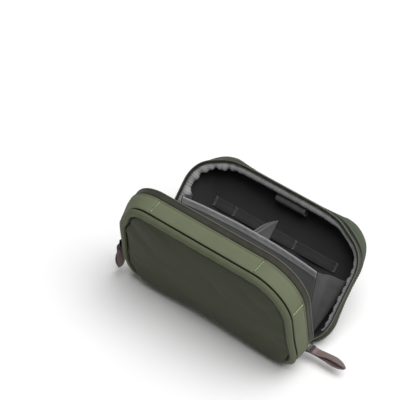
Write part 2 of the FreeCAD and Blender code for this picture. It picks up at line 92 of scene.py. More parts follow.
def outline_stretches(sag):
    """Length, start and direction or centre of each stretch, anticlockwise from the bottom."""
    flat_low = LENGTH / 2 - LOW_RADIUS
    flat_top = LENGTH / 2 - TOP_RADIUS
    side = HEIGHT + sag - LOW_RADIUS - TOP_RADIUS
    quarter = math.pi / 2
    return [
        ("line", flat_low, (0, -sag), (1, 0)),
        ("arc", LOW_RADIUS * quarter, (flat_low, LOW_RADIUS - sag), (LOW_RADIUS, -quarter)),
        ("line", side, (LENGTH / 2, LOW_RADIUS - sag), (0, 1)),
        ("arc", TOP_RADIUS * quarter, (flat_top, HEIGHT - TOP_RADIUS), (TOP_RADIUS, 0)),
        ("line", 2 * flat_top, (flat_top, HEIGHT), (-1, 0)),
        ("arc", TOP_RADIUS * quarter, (-flat_top, HEIGHT - TOP_RADIUS), (TOP_RADIUS, quarter)),
        ("line", side, (-LENGTH / 2, HEIGHT - TOP_RADIUS), (0, -1)),
        ("arc", LOW_RADIUS * quarter, (-flat_low, LOW_RADIUS - sag), (LOW_RADIUS, 2 * quarter)),
        ("line", flat_low, (-flat_low, -sag), (1, 0)),
    ]


def perimeter(sag=0.0):
    """Length of the outline."""
    return sum(stretch[1] for stretch in outline_stretches(sag))


def outline(s, inset, sag=0.0):
    """Points (x, z) of the outline at the lengths s, drawn in by inset."""
    s = np.mod(np.asarray(s, float), perimeter(sag))
    inset = np.broadcast_to(inset, s.shape)
    x, z = np.zeros(s.shape), np.zeros(s.shape)
    begin = 0.0
    for kind, length, origin, shape in outline_stretches(sag):
        here = (s >= begin) & (s <= begin + length)
        way = s - begin
        if kind == "line":
            px = origin[0] + shape[0] * way - shape[1] * inset
            pz = origin[1] + shape[1] * way + shape[0] * inset
        else:
            angle = shape[1] + way / shape[0]
            px = origin[0] + (shape[0] - inset) * np.cos(angle)
            pz = origin[1] + (shape[0] - inset) * np.sin(angle)
        x = np.where(here, px, x)
        z = np.where(here, pz, z)
        begin += length
    return x, z


def way_to(x, z, sag=0.0):
    """The length s at which the outline passes nearest to a point."""
    s = np.linspace(0, perimeter(sag), 4001)
    px, pz = outline(s, 0.0, sag)
    return float(s[np.argmin((px - x) ** 2 + (pz - z) ** 2)])


def ease(value, start, stop):
    """0 below start, 1 above stop, and smooth between."""
    share = np.clip((np.asarray(value, float) - start) / (stop - start), 0, 1)
    return share * share * (3 - 2 * share)


def corner_place(hand, degrees):
    """The length s of a point on a top corner, degrees above the horizontal."""
    flat_top = LENGTH / 2 - TOP_RADIUS
    angle = math.radians(degrees)
    return way_to(hand * (flat_top + TOP_RADIUS * math.cos(angle)),
                  HEIGHT - TOP_RADIUS + TOP_RADIUS * math.sin(angle))


# where the cloth is drawn in: each place, with the width and depth of the pull there
REAR_PULLS = [(corner_place(1, 63), 26 * MM, 6.0 * MM), (corner_place(-1, 64), 24 * MM, 4.2 * MM)]
FRONT_PULL = (corner_place(-1, 30), 24 * MM, 8.5 * MM)
RIM_PULL = (way_to(-LENGTH / 2, 80 * MM), 34 * MM, 6.0 * MM)


def drawn(side, s, d):
    """How far the open, part-filled pouch has drawn its cloth in at a place and depth."""
    total = np.zeros(np.broadcast(s, d).shape)
    if side == "rear":
        for place_s, width, amount in REAR_PULLS:
            total = total + amount * np.exp(-((s - place_s) / width) ** 2)
        return total * (1 - ease(d, 8 * MM, 19 * MM))
    for (place_s, width, amount), depths in ((FRONT_PULL, (10, 36)), (RIM_PULL, (31, 37))):
        reach = ease(d, depths[0] * MM, depths[1] * MM)
        total = total + amount * np.exp(-((s - place_s) / width) ** 2) * reach
    return total


LEAN_BACK = 4 * MM  # how far the lower part of the cover leans back


def base_round(x):
    """Radius over which the front half's base turns up into its face: most in the middle."""
    return np.maximum(31 - 14 * np.abs(x + 10 * MM) / (80 * MM), 9) * MM


def rounded_base(x, d, z):
    """Moves points of the front half's square lower front edge onto a rounded one."""
    radius = base_round(x)
    out = (d - (COVER_END - radius)) / radius
    down = (radius - (z + SAG)) / radius
    inside = (out > 0) & (down > 0)
    longer = np.maximum(out, down)
    scale = np.where(inside, longer / np.maximum(np.hypot(out, down), 1e-9), 1)
    blend = np.where(inside, np.minimum(out, down) / np.maximum(longer, 1e-9), 0)
    scale = 1 + (scale - 1) * ease(blend, 0, 0.35)
    d = np.where(inside, COVER_END - radius + out * scale * radius, d)
    z = np.where(inside, radius * (1 - down * scale) - SAG, z)
    return d, z


def to_row(matrix, x, y, z):
    """Row-frame points from coordinates in a half's or the inner wall's own frame."""
    local = np.stack(np.broadcast_arrays(x, y, z), -1).astype(float)
    return local @ np.array(matrix.to_3x3()).T + np.array(matrix.translation)


def facing(matrix, direction, count):
    """One unit vector along a frame's own depth, repeated for a number of points."""
    return np.tile(np.array(matrix.to_3x3()) @ np.array([0, direction, 0]), (count, 1))


def in_half(side, x, d, z):
    """Row-frame points from a half's own x, d and z."""
    matrix, sign = SIDE[side]
    if side == "front":
        x, d, z = np.broadcast_arrays(x, d, z)
        d = d - LEAN_BACK * ease(d, 12 * MM, COVER_END) * (1 - ease(z, 10 * MM, 70 * MM))
        d, z = rounded_base(x, d, z)
    return to_row(matrix, x, sign * np.asarray(d, float), z)


# ------------------------------------------------------------------ soft unevenness

def ripple(a, b, scale, seed):
    """Smooth repeatable unevenness between about -1 and 1, over two coordinates."""
    total = np.zeros(np.broadcast(a, b).shape)
    random = np.random.RandomState(seed)
    for octave in range(4):
        for _ in range(3):
            angle = random.uniform(0, math.pi)
            phase = random.uniform(0, 2 * math.pi)
            wave = 2 * math.pi / scale * (1.6 ** octave) * random.uniform(0.8, 1.25)
            along = a * math.cos(angle) + b * math.sin(angle)
            total = total + np.sin(along * wave + phase) * 0.55 ** octave
    return total / 4.5


def crease(x, z, start, end, width, depth):
    """A soft valley along a straight line that fades at both ends."""
    sx, sz = start
    ex, ez = end
    length = math.hypot(ex - sx, ez - sz)
    ux, uz = (ex - sx) / length, (ez - sz) / length
    along = (x - sx) * ux + (z - sz) * uz
    across = -(x - sx) * uz + (z - sz) * ux
    fade = np.clip(along / length, 0, 1) * np.clip(1 - along / length, 0, 1) * 4
    return -depth * fade * np.exp(-(across / width) ** 2)


# ------------------------------------------------------------------ meshes

def new_object(name, mesh):
    """An object in the scene that shows a mesh."""
    piece = bpy.data.objects.new(name, mesh)
    bpy.context.scene.collection.objects.link(piece)
    return piece


def smooth(piece, angle=50):
    """Shades a piece smoothly, except at edges sharper than angle."""
    piece.data.shade_smooth()
    piece.data.set_sharp_from_angle(angle=math.radians(angle))
    return piece


def running_length(points):
    """Length from the first point to each of the points, along them."""
    return np.concatenate([[0], np.cumsum(np.linalg.norm(np.diff(points, axis=0), axis=1))])


def mesh_piece(name, points, faces, uv=None, merge=False):
    """A smooth-shaded object from points and faces, with its normals pointing outwards."""
    mesh = bpy.data.meshes.new(name)
    mesh.from_pydata(points.reshape(-1, 3).tolist(), [], faces)
    if uv is not None:
        layer = mesh.uv_layers.new(name="UVMap")
        loops = np.zeros(len(mesh.loops), int)
        mesh.loops.foreach_get("vertex_index", loops)
        layer.data.foreach_set("uv", uv.reshape(-1, 2)[loops].astype(np.float32).ravel())
    made = bmesh.new()
    made.from_mesh(mesh)
    if merge:
        bmesh.ops.remove_doubles(made, verts=made.verts, dist=1e-7)
    bmesh.ops.recalc_face_normals(made, faces=made.faces)
    made.to_mesh(mesh)
    made.free()
    return smooth(new_object(name, mesh))


def quads(index):
    """The four-sided faces between the rows and columns of a grid of point numbers."""
    corners = [index[:-1, :-1], index[1:, :-1], index[1:, 1:], index[:-1, 1:]]
    return np.stack(corners, -1).reshape(-1, 4).tolist()


def grid_piece(name, points, around=False, across=False, uv=None, ends=False):
    """A mesh from a grid of points; around and across close it along its two ways."""
    rows, columns = points.shape[:2]
    index = np.arange(rows * columns).reshape(rows, columns)
    if around:
        index = np.vstack([index, index[:1]])
    if across:
        index = np.hstack([index, index[:, :1]])
    faces = quads(index)
    if ends and across and not around:
        faces.append(index[0, :-1][::-1].tolist())
        faces.append(index[-1, :-1].tolist())
    return mesh_piece(name, points, faces, uv, merge=True)


def grid_normals(grid):
    """Unit normals of a grid of points, or zeros where points coincide."""
    normal = np.cross(np.gradient(grid, axis=0), np.gradient(grid, axis=1))
    return normal / np.maximum(np.linalg.norm(normal, axis=2), 1e-12)[..., None]


def doubled(outer, inner):
    """One grid that runs out over a first grid and back over a second."""
    return np.concatenate([outer, inner[:, ::-1]], 1)


def filled(edge, middle, rings):
    """Grids of x and z that fill an outline round a middle height, and each ring's share."""
    edge_x, edge_z = edge
    share = np.linspace(0, 1, rings) ** 0.8
    return edge_x[:, None] * share, middle + (edge_z[:, None] - middle) * share, share


def metric(s, across):
    """UVs in metres: the way round and the way across."""
    return np.stack(np.broadcast_arrays(s, across), -1)


def band(name, side, s, d, inset, sag=0.0, closed=True):
    """A closed strip of cloth swept round the outline; d and inset give its section."""
    s = np.asarray(s)
    d = np.broadcast_to(d, (len(s), np.shape(d)[-1]))
    inset = np.broadcast_to(inset, d.shape)
    way = np.repeat(s[:, None], d.shape[1], 1)
    x, z = outline(way, inset + drawn(side, way, d), sag)
    points = in_half(side, x, d, z)
    steps = np.hypot(np.diff(d, axis=1), np.diff(inset, axis=1))
    across = np.concatenate([np.zeros((len(s), 1)), np.cumsum(steps, 1)], 1)
    return grid_piece(name, points, around=closed, across=True,
                      uv=metric(way, across), ends=not closed)


def panel(name, side, s, ring_inset, face_depth, back_depth, sag=0.0, rings=46):
    """A closed panel inside the outline, with a face and a back given by depth functions."""
    s = np.asarray(s)
    edge = outline(s, ring_inset + drawn(side, s, 36 * MM), sag)
    x, z, share = filled(edge, HEIGHT / 2, rings)
    face = in_half(side, x, face_depth(x, z, share[None, :]), z)
    back = in_half(side, x, back_depth(x, z, share[None, :]), z)
    flat = metric(x, z)
    return grid_piece(name, doubled(back, face), around=True, uv=doubled(flat, flat))


def round_the(step, sag=0.0):
    """Evenly spaced places all round the outline."""
    length = perimeter(sag)
    count = round(length / step)
    return np.arange(count) * length / count


def lengthwise(start, end, step):
    """Evenly spaced places from start to end."""
    return np.linspace(start, end, max(2, round(abs(end - start) / step) + 1))


# ------------------------------------------------------------------ materials

class Nodes:
    """Short calls for building one material's node tree."""

    def __init__(self, name, roughness, uv):
        self.material = bpy.data.materials.new(name)
        self.material.use_nodes = True
        self.tree = self.material.node_tree
        self.shader = self.tree.nodes["Principled BSDF"]
        self.shader.inputs["Roughness"].default_value = roughness
        coordinates = self.tree.nodes.new("ShaderNodeTexCoord")
        self.place = coordinates.outputs["UV" if uv else "Object"]
        self.solid = coordinates.outputs["Object"]

    def link(self, source, target):
        self.tree.links.new(source, target)

    def noise(self, scale, detail=3.0, source=None):
        node = self.tree.nodes.new("ShaderNodeTexNoise")
        node.inputs["Scale"].default_value = scale
        node.inputs["Detail"].default_value = detail
        self.link(source or self.solid, node.inputs["Vector"])
        return node.outputs["Fac"]

    def wave(self, scale, direction, kind="BANDS", distortion=0.0):
        node = self.tree.nodes.new("ShaderNodeTexWave")
        node.wave_type = kind
        node.bands_direction = direction
        node.inputs["Scale"].default_value = scale
        node.inputs["Distortion"].default_value = distortion
        self.link(self.place, node.inputs["Vector"])
        return node.outputs["Fac"]

    def maths(self, operation, first, second):
        node = self.tree.nodes.new("ShaderNodeMath")
        node.operation = operation
        for socket, source in zip(node.inputs, (first, second)):
            if hasattr(source, "is_output"):
                self.link(source, socket)
            else:
                socket.default_value = source
        return node.outputs["Value"]

    def ramp(self, source, low, high, start=0.0, stop=1.0):
        node = self.tree.nodes.new("ShaderNodeValToRGB")
        node.color_ramp.elements[0].color = (*low, 1)
        node.color_ramp.elements[1].color = (*high, 1)
        node.color_ramp.elements[0].position = start
        node.color_ramp.elements[1].position = stop
        self.link(source, node.inputs["Fac"])
        return node.outputs["Color"]

    def colour(self, source):
        self.link(source, self.shader.inputs["Base Color"])

    def rough(self, source, low, high):
        node = self.tree.nodes.new("ShaderNodeMapRange")
        node.inputs["To Min"].default_value = low
        node.inputs["To Max"].default_value = high
        self.link(source, node.inputs["Value"])
        self.link(node.outputs["Result"], self.shader.inputs["Roughness"])

    def bump(self, source, distance, strength=1.0, before=None):
        node = self.tree.nodes.new("ShaderNodeBump")
        node.inputs["Distance"].default_value = distance
        node.inputs["Strength"].default_value = strength
        self.link(source, node.inputs["Height"])
        if before is not None:
            self.link(before, node.inputs["Normal"])
        self.link(node.outputs["Normal"], self.shader.inputs["Normal"])
        return node.outputs["Normal"]


def from_screen(red, green, blue):
    """A linear colour from 0 to 255 screen values."""
    out = []
    for value in (red, green, blue):
        value = value / 255
        out.append(value / 12.92 if value <= 0.04045 else ((value + 0.055) / 1.055) ** 2.4)
    return tuple(out)


def shade(colour, factor):
    """A colour made darker or lighter by a factor."""
    return tuple(channel * factor for channel in colour)


WAVE_PERIOD = 2 * math.pi / 20  # a wave texture's period, in coordinate units, at scale 1


def pitch(metres):
    """Scale of a wave texture that repeats every so many metres."""
    return WAVE_PERIOD / metres


def cloth(name, colour, yarn, uv=True, roughness=0.8, sheen=0.15, relief=0.00006, mottling=0.12,
          gloss=0.3):
    """Plain-woven cloth: crossed yarns, faint mottling and a soft sheen."""
    n = Nodes(name, roughness, uv)
    warp = n.wave(pitch(yarn), "X")
    weft = n.wave(pitch(yarn), "Y" if uv else "Z")
    weave = n.maths("MAXIMUM", warp, weft)
    patches = n.noise(45, 4)
    fine = n.noise(900, 2)
    mixed = n.maths("ADD", n.maths("MULTIPLY", patches, 0.7), n.maths("MULTIPLY", fine, 0.3))
    tone = n.maths("ADD", n.maths("MULTIPLY", mixed, 0.7), n.maths("MULTIPLY", weave, 0.3))
    n.colour(n.ramp(tone, shade(colour, 1 - mottling), shade(colour, 1 + mottling), 0.25, 0.8))
    n.rough(patches, roughness - 0.06, min(1.0, roughness + 0.06))
    slack = n.bump(patches, 0.0004, 0.5)
    n.bump(weave, relief, 0.8, slack)
    n.shader.inputs["Sheen Weight"].default_value = sheen
    n.shader.inputs["Sheen Roughness"].default_value = 0.5
    n.shader.inputs["Specular IOR Level"].default_value = gloss
    return n.material


def ribbed(name, colour, rib, direction, roughness=0.75, relief=0.00012, contrast=0.3, uv=True):
    """Narrow woven goods, such as tape, webbing and elastic, with ribs one way."""
    n = Nodes(name, roughness, uv)
    ribs = n.wave(pitch(rib), direction)
    cross = n.wave(pitch(rib / 2.2), "Y" if direction == "X" else "X")
    both = n.maths("ADD", n.maths("MULTIPLY", ribs, 0.7), n.maths("MULTIPLY", cross, 0.3))
    tone = n.maths("ADD", n.maths("MULTIPLY", both, 0.6), n.maths("MULTIPLY", n.noise(120), 0.4))
    n.colour(n.ramp(tone, shade(colour, 1 - contrast), shade(colour, 1 + contrast), 0.2, 0.85))
    n.rough(tone, roughness + 0.08, roughness - 0.08)
    n.bump(both, relief, 0.9)
    n.shader.inputs["Sheen Weight"].default_value = 0.1
    n.shader.inputs["Specular IOR Level"].default_value = 0.3
    return n.material


def moulded(name, colour, roughness=0.5):
    """Nylon and thread: slightly uneven, a little glossy."""
    n = Nodes(name, roughness, False)
    grain = n.noise(1500, 3)
    n.colour(n.ramp(grain, shade(colour, 0.85), shade(colour, 1.15), 0.3, 0.7))
    n.rough(grain, roughness - 0.1, roughness + 0.1)
    n.bump(grain, 0.00004, 0.6)
    return n.material


def metal(name, colour, roughness=0.35):
    """Dark painted zinc, rubbed brighter in places."""
    n = Nodes(name, roughness, False)
    wear = n.noise(260, 5)
    n.colour(n.ramp(wear, colour, shade(colour, 2.2), 0.55, 0.75))
    n.rough(wear, roughness - 0.08, roughness + 0.15)
    n.bump(n.noise(1200, 3), 0.00003, 0.4)
    n.shader.inputs["Metallic"].default_value = 0.85
    return n.material


GREEN = from_screen(105, 111, 88)
# the shell green darkened for the cover's rim band: painted shade on the same cloth
RIM_PAINTED_SHADE_GREEN = from_screen(92, 97, 76)
# the shell green darkened for the cover's face: painted shade on the same cloth
FACE_PAINTED_SHADE_GREEN = from_screen(67, 70, 55)
# the shell green darkened for the rear shell: painted shade on the same cloth
REAR_PAINTED_SHADE_GREEN = from_screen(82, 89, 75)
TAPE_OLIVE = from_screen(57, 55, 47)
CHARCOAL = from_screen(46, 46, 47)
# the lining grey made much lighter for the lining roll: painted light on its lit top
PUFFY_PAINTED_LIGHT_GREY = from_screen(150, 150, 151)
POCKET_GREY = from_screen(108, 108, 109)
# the pocket grey made lighter for the top hem: painted light on its upward faces
HEM_PAINTED_LIGHT_GREY = from_screen(158, 158, 159)
FOLD_GREY = from_screen(80, 80, 81)
MAUVE = from_screen(120, 104, 102)
PALE_GREEN = from_screen(178, 190, 150)

COATED = {"yarn": 0.0006, "roughness": 0.68, "sheen": 0.0, "relief": 0.00003, "gloss": 0.14}

LOOKS = {
    "shell": cloth("shell cloth", GREEN, **COATED),
    "rim": cloth("rim cloth painted shade", RIM_PAINTED_SHADE_GREEN, **COATED),
    "rear shell": cloth("rear shell cloth painted shade", REAR_PAINTED_SHADE_GREEN, **COATED),
    "face": cloth("cover cloth painted shade", FACE_PAINTED_SHADE_GREEN, uv=False, **COATED),
    "tape": ribbed("zipper tape", TAPE_OLIVE, 0.0021, "X", contrast=0.6),
    # a much lighter colour than the tape for the rolled lip's cord: painted highlight where the
    # lip catches the top light
    "lip": moulded("olive tape lip painted highlight", from_screen(104, 106, 88), 0.7),
    "piping": moulded("black zipper edge", from_screen(30, 31, 27), 0.6),
    "charcoal": cloth("charcoal lining", CHARCOAL, 0.0007, roughness=0.85, sheen=0.1),
    "puffy": cloth("puffy lining", PUFFY_PAINTED_LIGHT_GREY, 0.0008, roughness=0.75, sheen=0.25,
                   relief=0.0001),
    "pocket": cloth("pocket cloth", POCKET_GREY, 0.0007, roughness=0.8, sheen=0.2),
    "sleeve": cloth("pen sleeve cloth", from_screen(86, 86, 87), 0.0007, roughness=0.8,
                    sheen=0.2),
    "fold": cloth("folding panel cloth", FOLD_GREY, 0.0007, roughness=0.8, sheen=0.1),
    "hem": cloth("pocket hem painted light", HEM_PAINTED_LIGHT_GREY, 0.0007, roughness=0.8, sheen=0.2),
    "elastic": ribbed("elastic", from_screen(55, 55, 56), 0.0014, "X", 0.8, contrast=0.35),
    "webbing": ribbed("webbing", MAUVE, 0.0011, "X", 0.8, 0.0002, contrast=0.25),
    "dark webbing": ribbed("dark webbing", from_screen(66, 64, 65), 0.0011, "X", 0.8, 0.0002,
                           contrast=0.25),
    "coil": moulded("nylon coil", from_screen(44, 44, 40), 0.45),
    "metal": metal("dark zinc", from_screen(60, 60, 62)),
    "thread": moulded("pale green thread", PALE_GREEN, 0.6),
    "grey thread": moulded("grey thread", from_screen(150, 150, 152), 0.6),
    "dark thread": moulded("dark thread", from_screen(62, 68, 54), 0.6),
    "mauve thread": moulded("mauve thread", from_screen(146, 129, 129), 0.6),
}


def dress(piece, look):
    """Gives a piece its one material."""
    piece.data.materials.clear()
    piece.data.materials.append(LOOKS[look])


def add(piece, look, body, slot, *replaced):
    """Give a finished piece its look and body, and hide the CAD nodes that it stands for. The slot
    argument is not used.
    """
    dress(piece, look)
    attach(piece, body)
    if replaced:
        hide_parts(*replaced)
    return piece


# ------------------------------------------------------------------ stitches

def stitch_row(name, points, normals, length=2.4 * MM, gap=0.8 * MM, radius=0.32 * MM):
    """Short raised stitches that follow a line of points lying on a surface."""
    points, normals = np.asarray(points, float), np.asarray(normals, float)
    way = running_length(points)
    made = []
    faces = []
    sides, stations = 6, 5
    swell = np.sin(np.linspace(0.12, math.pi - 0.12, stations))
    ring = np.arange(sides)
    start = 0.0
    while start + length < way[-1]:
        t = np.linspace(start, start + length, stations)
        centre = np.stack([np.interp(t, way, points[:, i]) for i in range(3)], 1)
        up = np.stack([np.interp(t, way, normals[:, i]) for i in range(3)], 1)
        up /= np.linalg.norm(up, axis=1)[:, None]
        along = centre[-1] - centre[0]
        along /= np.linalg.norm(along)
        beside = np.cross(along, up)
        base = len(made)
        for i in range(stations):
            for k in range(sides):
                angle = 2 * math.pi * k / sides
                r = radius * (0.35 + 0.65 * swell[i])
                lift = (swell[i] * 0.9 - 0.3) * radius
                made.append(centre[i] + beside[i] * r * math.cos(angle)
                            + up[i] * (r * math.sin(angle) + lift))
        for first in base + np.arange(stations - 1) * sides:
            after = first + (ring + 1) % sides
            around = [first + ring, after, after + sides, first + sides + ring]
            faces.extend(np.stack(around, -1).tolist())
        faces.append((base + ring[::-1]).tolist())
        faces.append((base + (stations - 1) * sides + ring).tolist())
        start += length + gap
    mesh = bpy.data.meshes.new(name)
    mesh.from_pydata([tuple(p) for p in made], [], faces)
    return smooth(new_object(name, mesh))


def outward(side, s, sag=0.0):
    """Unit vectors that point out of the outline at the lengths s."""
    x0, z0 = outline(s, 0.0, sag)
    x1, z1 = outline(s, MM, sag)
    out = in_half(side, x0, 0.0, z0) - in_half(side, x1, 0.0, z1)
    return out / np.linalg.norm(out, axis=1)[:, None]


def stitch_across(name, side, s, d0, d1, inset, sag=0.0):
    """A row of stitches from depth d0 to d1 across a band, at one place."""
    d = np.linspace(d0, d1, 12)
    way = np.full(12, s)
    x, z = outline(way, inset + drawn(side, way, d), sag)
    return stitch_row(name, in_half(side, x, d, z), outward(side, way, sag),
                      length=2.9 * MM, gap=0.35 * MM, radius=0.42 * MM)


def stitch_along(name, side, s, d, inset, sag=0.0, **sizes):
    """A row of stitches that runs round a band at one depth."""
    s = np.asarray(s)
    x, z = outline(s, inset + drawn(side, s, d), sag)
    return stitch_row(name, in_half(side, x, d, z), outward(side, s, sag), **sizes)


# ------------------------------------------------------------------ zipper

OPEN_FROM = way_to(SPINE_HALF, 0)
OPEN_TO = way_to(-SPINE_HALF, 0)


def make_tape(side):
    """Zipper tape: cross ribs, a rolled lip at the parting edge with a lighter cord along it as a
    painted highlight, and two sewn lines.
    """
    body = PAIR[side][0]
    s = lengthwise(OPEN_FROM, OPEN_TO, 0.5 * MM)
    d = np.array([0.9, 0.8, 1.2, 1.9, 2.7, 3.2, 4.5, 6.2, 7.4, 8.3, 8.8, 9.4, 6.0, 2.0]) * MM
    inset = np.array([1.7, 1.0, 0.3, 0.1, 0.4, 0.8, 0.75, 0.7, 0.75, 1.0, 1.4, 1.9, 1.9, 1.9]) * MM
    ribs = 0.16 * MM * np.abs(np.sin(math.pi * s / (2.0 * MM)))
    outer = np.array([0, 0, .3, .3, .6, 1, 1, 1, 1, 1, .5, 0, 0, 0])
    section = inset[None, :] - ribs[:, None] * outer
    add(band(f"{side}_zipper_tape", side, s, d, section, closed=False), "tape", body, "zip_tape",
        f"{side}_tape")
    sewn = lengthwise(OPEN_FROM + 4 * MM, OPEN_TO - 4 * MM, 2 * MM)
    x, z = outline(s[::3], 0.75 * MM + drawn(side, s[::3], MM))
    # a lighter cord along the rolled lip: painted highlight on the tape's edge
    add(tube(f"{side}_tape_lip_highlight", in_half(side, x, MM, z), 0.55 * MM),
        "lip", body, "zip_tape")
    for number, depth in enumerate((4.2 * MM, 7.6 * MM), 1):
        line = stitch_along(f"{side}_tape_stitches_{number}", side, sewn, depth, 0.6 * MM,
                            length=2.6 * MM, gap=0.5 * MM, radius=0.22 * MM)
        add(line, "dark thread", body, "thread")


def coil(name, side, s_from, s_to, depth, inset, radius, turn, sag=0.0):
    """A nylon coil wound along the outline."""
    turns = abs(s_to - s_from) / turn
    t = np.linspace(0, 1, int(turns * 9))
    angle = 2 * math.pi * turns * t
    way = s_from + (s_to - s_from) * t
    d = depth + radius * np.cos(angle)
    deep = inset + radius * np.sin(angle)
    x, z = outline(way, deep + drawn(side, way, d), sag)
    return tube(name, in_half(side, x, d, z), 0.3 * MM, 5)


def tube(name, path, radius, sides=8, closed=False):
    """A round tube along a path of points."""
    path = np.asarray(path, float)
    if closed:
        tangent = np.roll(path, -1, 0) - np.roll(path, 1, 0)
    else:
        tangent = np.gradient(path, axis=0)
    tangent /= np.linalg.norm(tangent, axis=1)[:, None]
    normal = np.cross(tangent[0], (0.31, 0.27, 0.91))
    normals = []
    for direction in tangent:
        normal = normal - direction * np.dot(normal, direction)
        normal = normal / np.linalg.norm(normal)
        normals.append(normal)
    normals = np.array(normals)
    beside = np.cross(tangent, normals)
    angle = np.arange(sides) * 2 * math.pi / sides
    radius = np.broadcast_to(radius, (len(path),))[:, None, None]
    ring = (normals[:, None] * np.cos(angle)[None, :, None]
            + beside[:, None] * np.sin(angle)[None, :, None]) * radius
    points = path[:, None] + ring
    uv = metric(running_length(path)[:, None], angle[None, :] * MM)
    return grid_piece(name, points, around=closed, across=True, uv=uv, ends=not closed)


def make_coils():
    """The main zipper's two coils and the front compartment's two."""
    for side in ("front", "rear"):
        made = coil(f"{side}_teeth", side, OPEN_FROM, OPEN_TO, 1.6 * MM, 2.6 * MM,
                    0.6 * MM, 1.5 * MM)
        add(made, "coil", PAIR[side][0], "zip_coil", f"{side}_coil")
    start = way_to(SPINE_HALF, -SAG, SAG)
    stop = way_to(-SPINE_HALF, -SAG, SAG)
    for name, depth, body in (("gusset_teeth", 31.3, "front_half"),
                              ("cover_teeth", 32.2, "front_cover")):
        add(coil(name, "front", start, stop, depth * MM, 2.6 * MM, 0.3 * MM, 1.4 * MM, SAG),
            "coil", body, "zip_coil")


# ------------------------------------------------------------------ gusset

SEAM_TOP_RIGHT = way_to(SEAM_HALF, HEIGHT, SAG)
SEAM_TOP_LEFT = way_to(-SEAM_HALF, HEIGHT, SAG)
SEAM_RIGHT = way_to(LENGTH / 2, SEAM_RISE, SAG)
SEAM_LEFT = way_to(-LENGTH / 2, SEAM_RISE, SAG)
ROUND = perimeter(SAG)
GUSSET_PANELS = {
    "gusset_top": (SEAM_TOP_RIGHT, SEAM_TOP_LEFT),
    "gusset_corner_right": (SEAM_RIGHT, SEAM_TOP_RIGHT),
    "gusset_corner_left": (SEAM_TOP_LEFT, SEAM_LEFT),
    "gusset_base": (SEAM_LEFT, SEAM_RIGHT + ROUND),
}
SEAM_STEPS = np.array([0.15, 0.6, 1.1, 1.8, 2.8, 4.2]) * MM


def make_gusset():
    """The band of cloth round the front half, four panels seamed across."""
    d = np.array([9.8, 9.9, 10.5, 11.6, 12.2, 12.9, 17, 20, 23, 26, 28.4, 29.8, 30.6, 30.9,
                  30.9, 20, 9.9]) * MM
    inset = np.array([1.5, 0.6, -0.1, -0.2, 0.35, -0.1, -0.45, -0.55, -0.5, -0.35, -0.1, 0.1,
                      0.5, 1.0, 1.4, 1.4, 1.5]) * MM
    skin = np.array([.2, .6, 1, 1, 1, 1, 1, 1, 1, 1, 1, 1, .6, .3, 0, 0, 0])
    for name, (start, stop) in GUSSET_PANELS.items():
        inner = lengthwise(start + 7 * MM, stop - 7 * MM, 2.5 * MM)
        s = np.concatenate([start + SEAM_STEPS, inner, (stop - SEAM_STEPS)[::-1]])
        seam = np.exp(-(np.minimum(s - start, stop - s) / (1.3 * MM)) ** 2)
        near_seam = np.exp(-np.minimum(s - start, stop - s) / (14 * MM))
        slack = ripple(s[:, None], d[None, :], 38 * MM, 3) * 0.28 * MM
        pucker = (ripple(d[None, :] * 2.5, s[:, None], 17 * MM, 9)
                  * near_seam[:, None] * 0.35 * MM)
        change = 0.75 * MM * seam[:, None] + slack + pucker
        section = inset[None, :] + change * skin[None, :]
        add(band(name + "_cloth", "front", s, d, section, SAG, closed=False), "shell",
            "front_half", "shell_cloth", name)
    for name, seam in (("a", SEAM_TOP_LEFT), ("b", SEAM_TOP_RIGHT), ("c", SEAM_RIGHT),
                       ("d", SEAM_LEFT)):
        row = stitch_across(f"seam_stitches_{name}", "front", seam - 1.5 * MM,
                            12.4 * MM, 30.0 * MM, -0.05 * MM, SAG)
        add(row, "thread", "front_half", "thread")
    around = np.append(round_the(2 * MM, SAG), ROUND - 0.1 * MM)
    edge = stitch_along("gusset_edge_stitches", "front", around, 12.2 * MM, 0.25 * MM, SAG,
                        length=2.4 * MM, gap=0.6 * MM, radius=0.2 * MM)
    add(edge, "dark thread", "front_half", "thread")


def make_gusset_lips():
    """Black zipper edges on both sides of the front compartment's opening."""
    s = round_the(3 * MM, SAG)
    d = np.array([30.5, 30.9, 31.2, 31.2, 30.9, 25.8, 25.6, 27]) * MM
    inset = np.array([1.5, 0.7, 1.4, 3.4, 4.7, 4.8, 3.7, 3.6]) * MM
    add(band("gusset_lip", "front", s, d, inset, SAG), "piping", "front_half", "zip_tape",
        "gusset_zip_tape")
    d = np.array([32.6, 32.4, 32.7, 33.4, 33.5, 33.3]) * MM
    inset = np.array([1.5, 1.0, 0.6, 0.9, 5.2, 5.2]) * MM
    add(band("cover_lip", "front", s, d, inset, SAG), "piping", "front_cover", "zip_tape",
        "cover_zip_tape")
    d = np.array([9.6, 9.6, 25, 30.4, 30.4, 25]) * MM
    inset = np.array([1.7, 3.5, 3.7, 3.6, 1.6, 1.7]) * MM
    liner = add(band("gusset_liner", "front", s, d, inset, SAG), "charcoal", "front_half",
                "lining_cloth", "gusset_lining", "gusset_foam")


# ------------------------------------------------------------------ front cover

def points_of(mesh):
    """The places of a mesh's vertices."""
    out = np.zeros(len(mesh.vertices) * 3)
    mesh.vertices.foreach_get("co", out)
    return out.reshape(-1, 3)


VOXEL = 4 * MM
AIR_PRESSURE = 4
SETTLING_FRAMES = 20


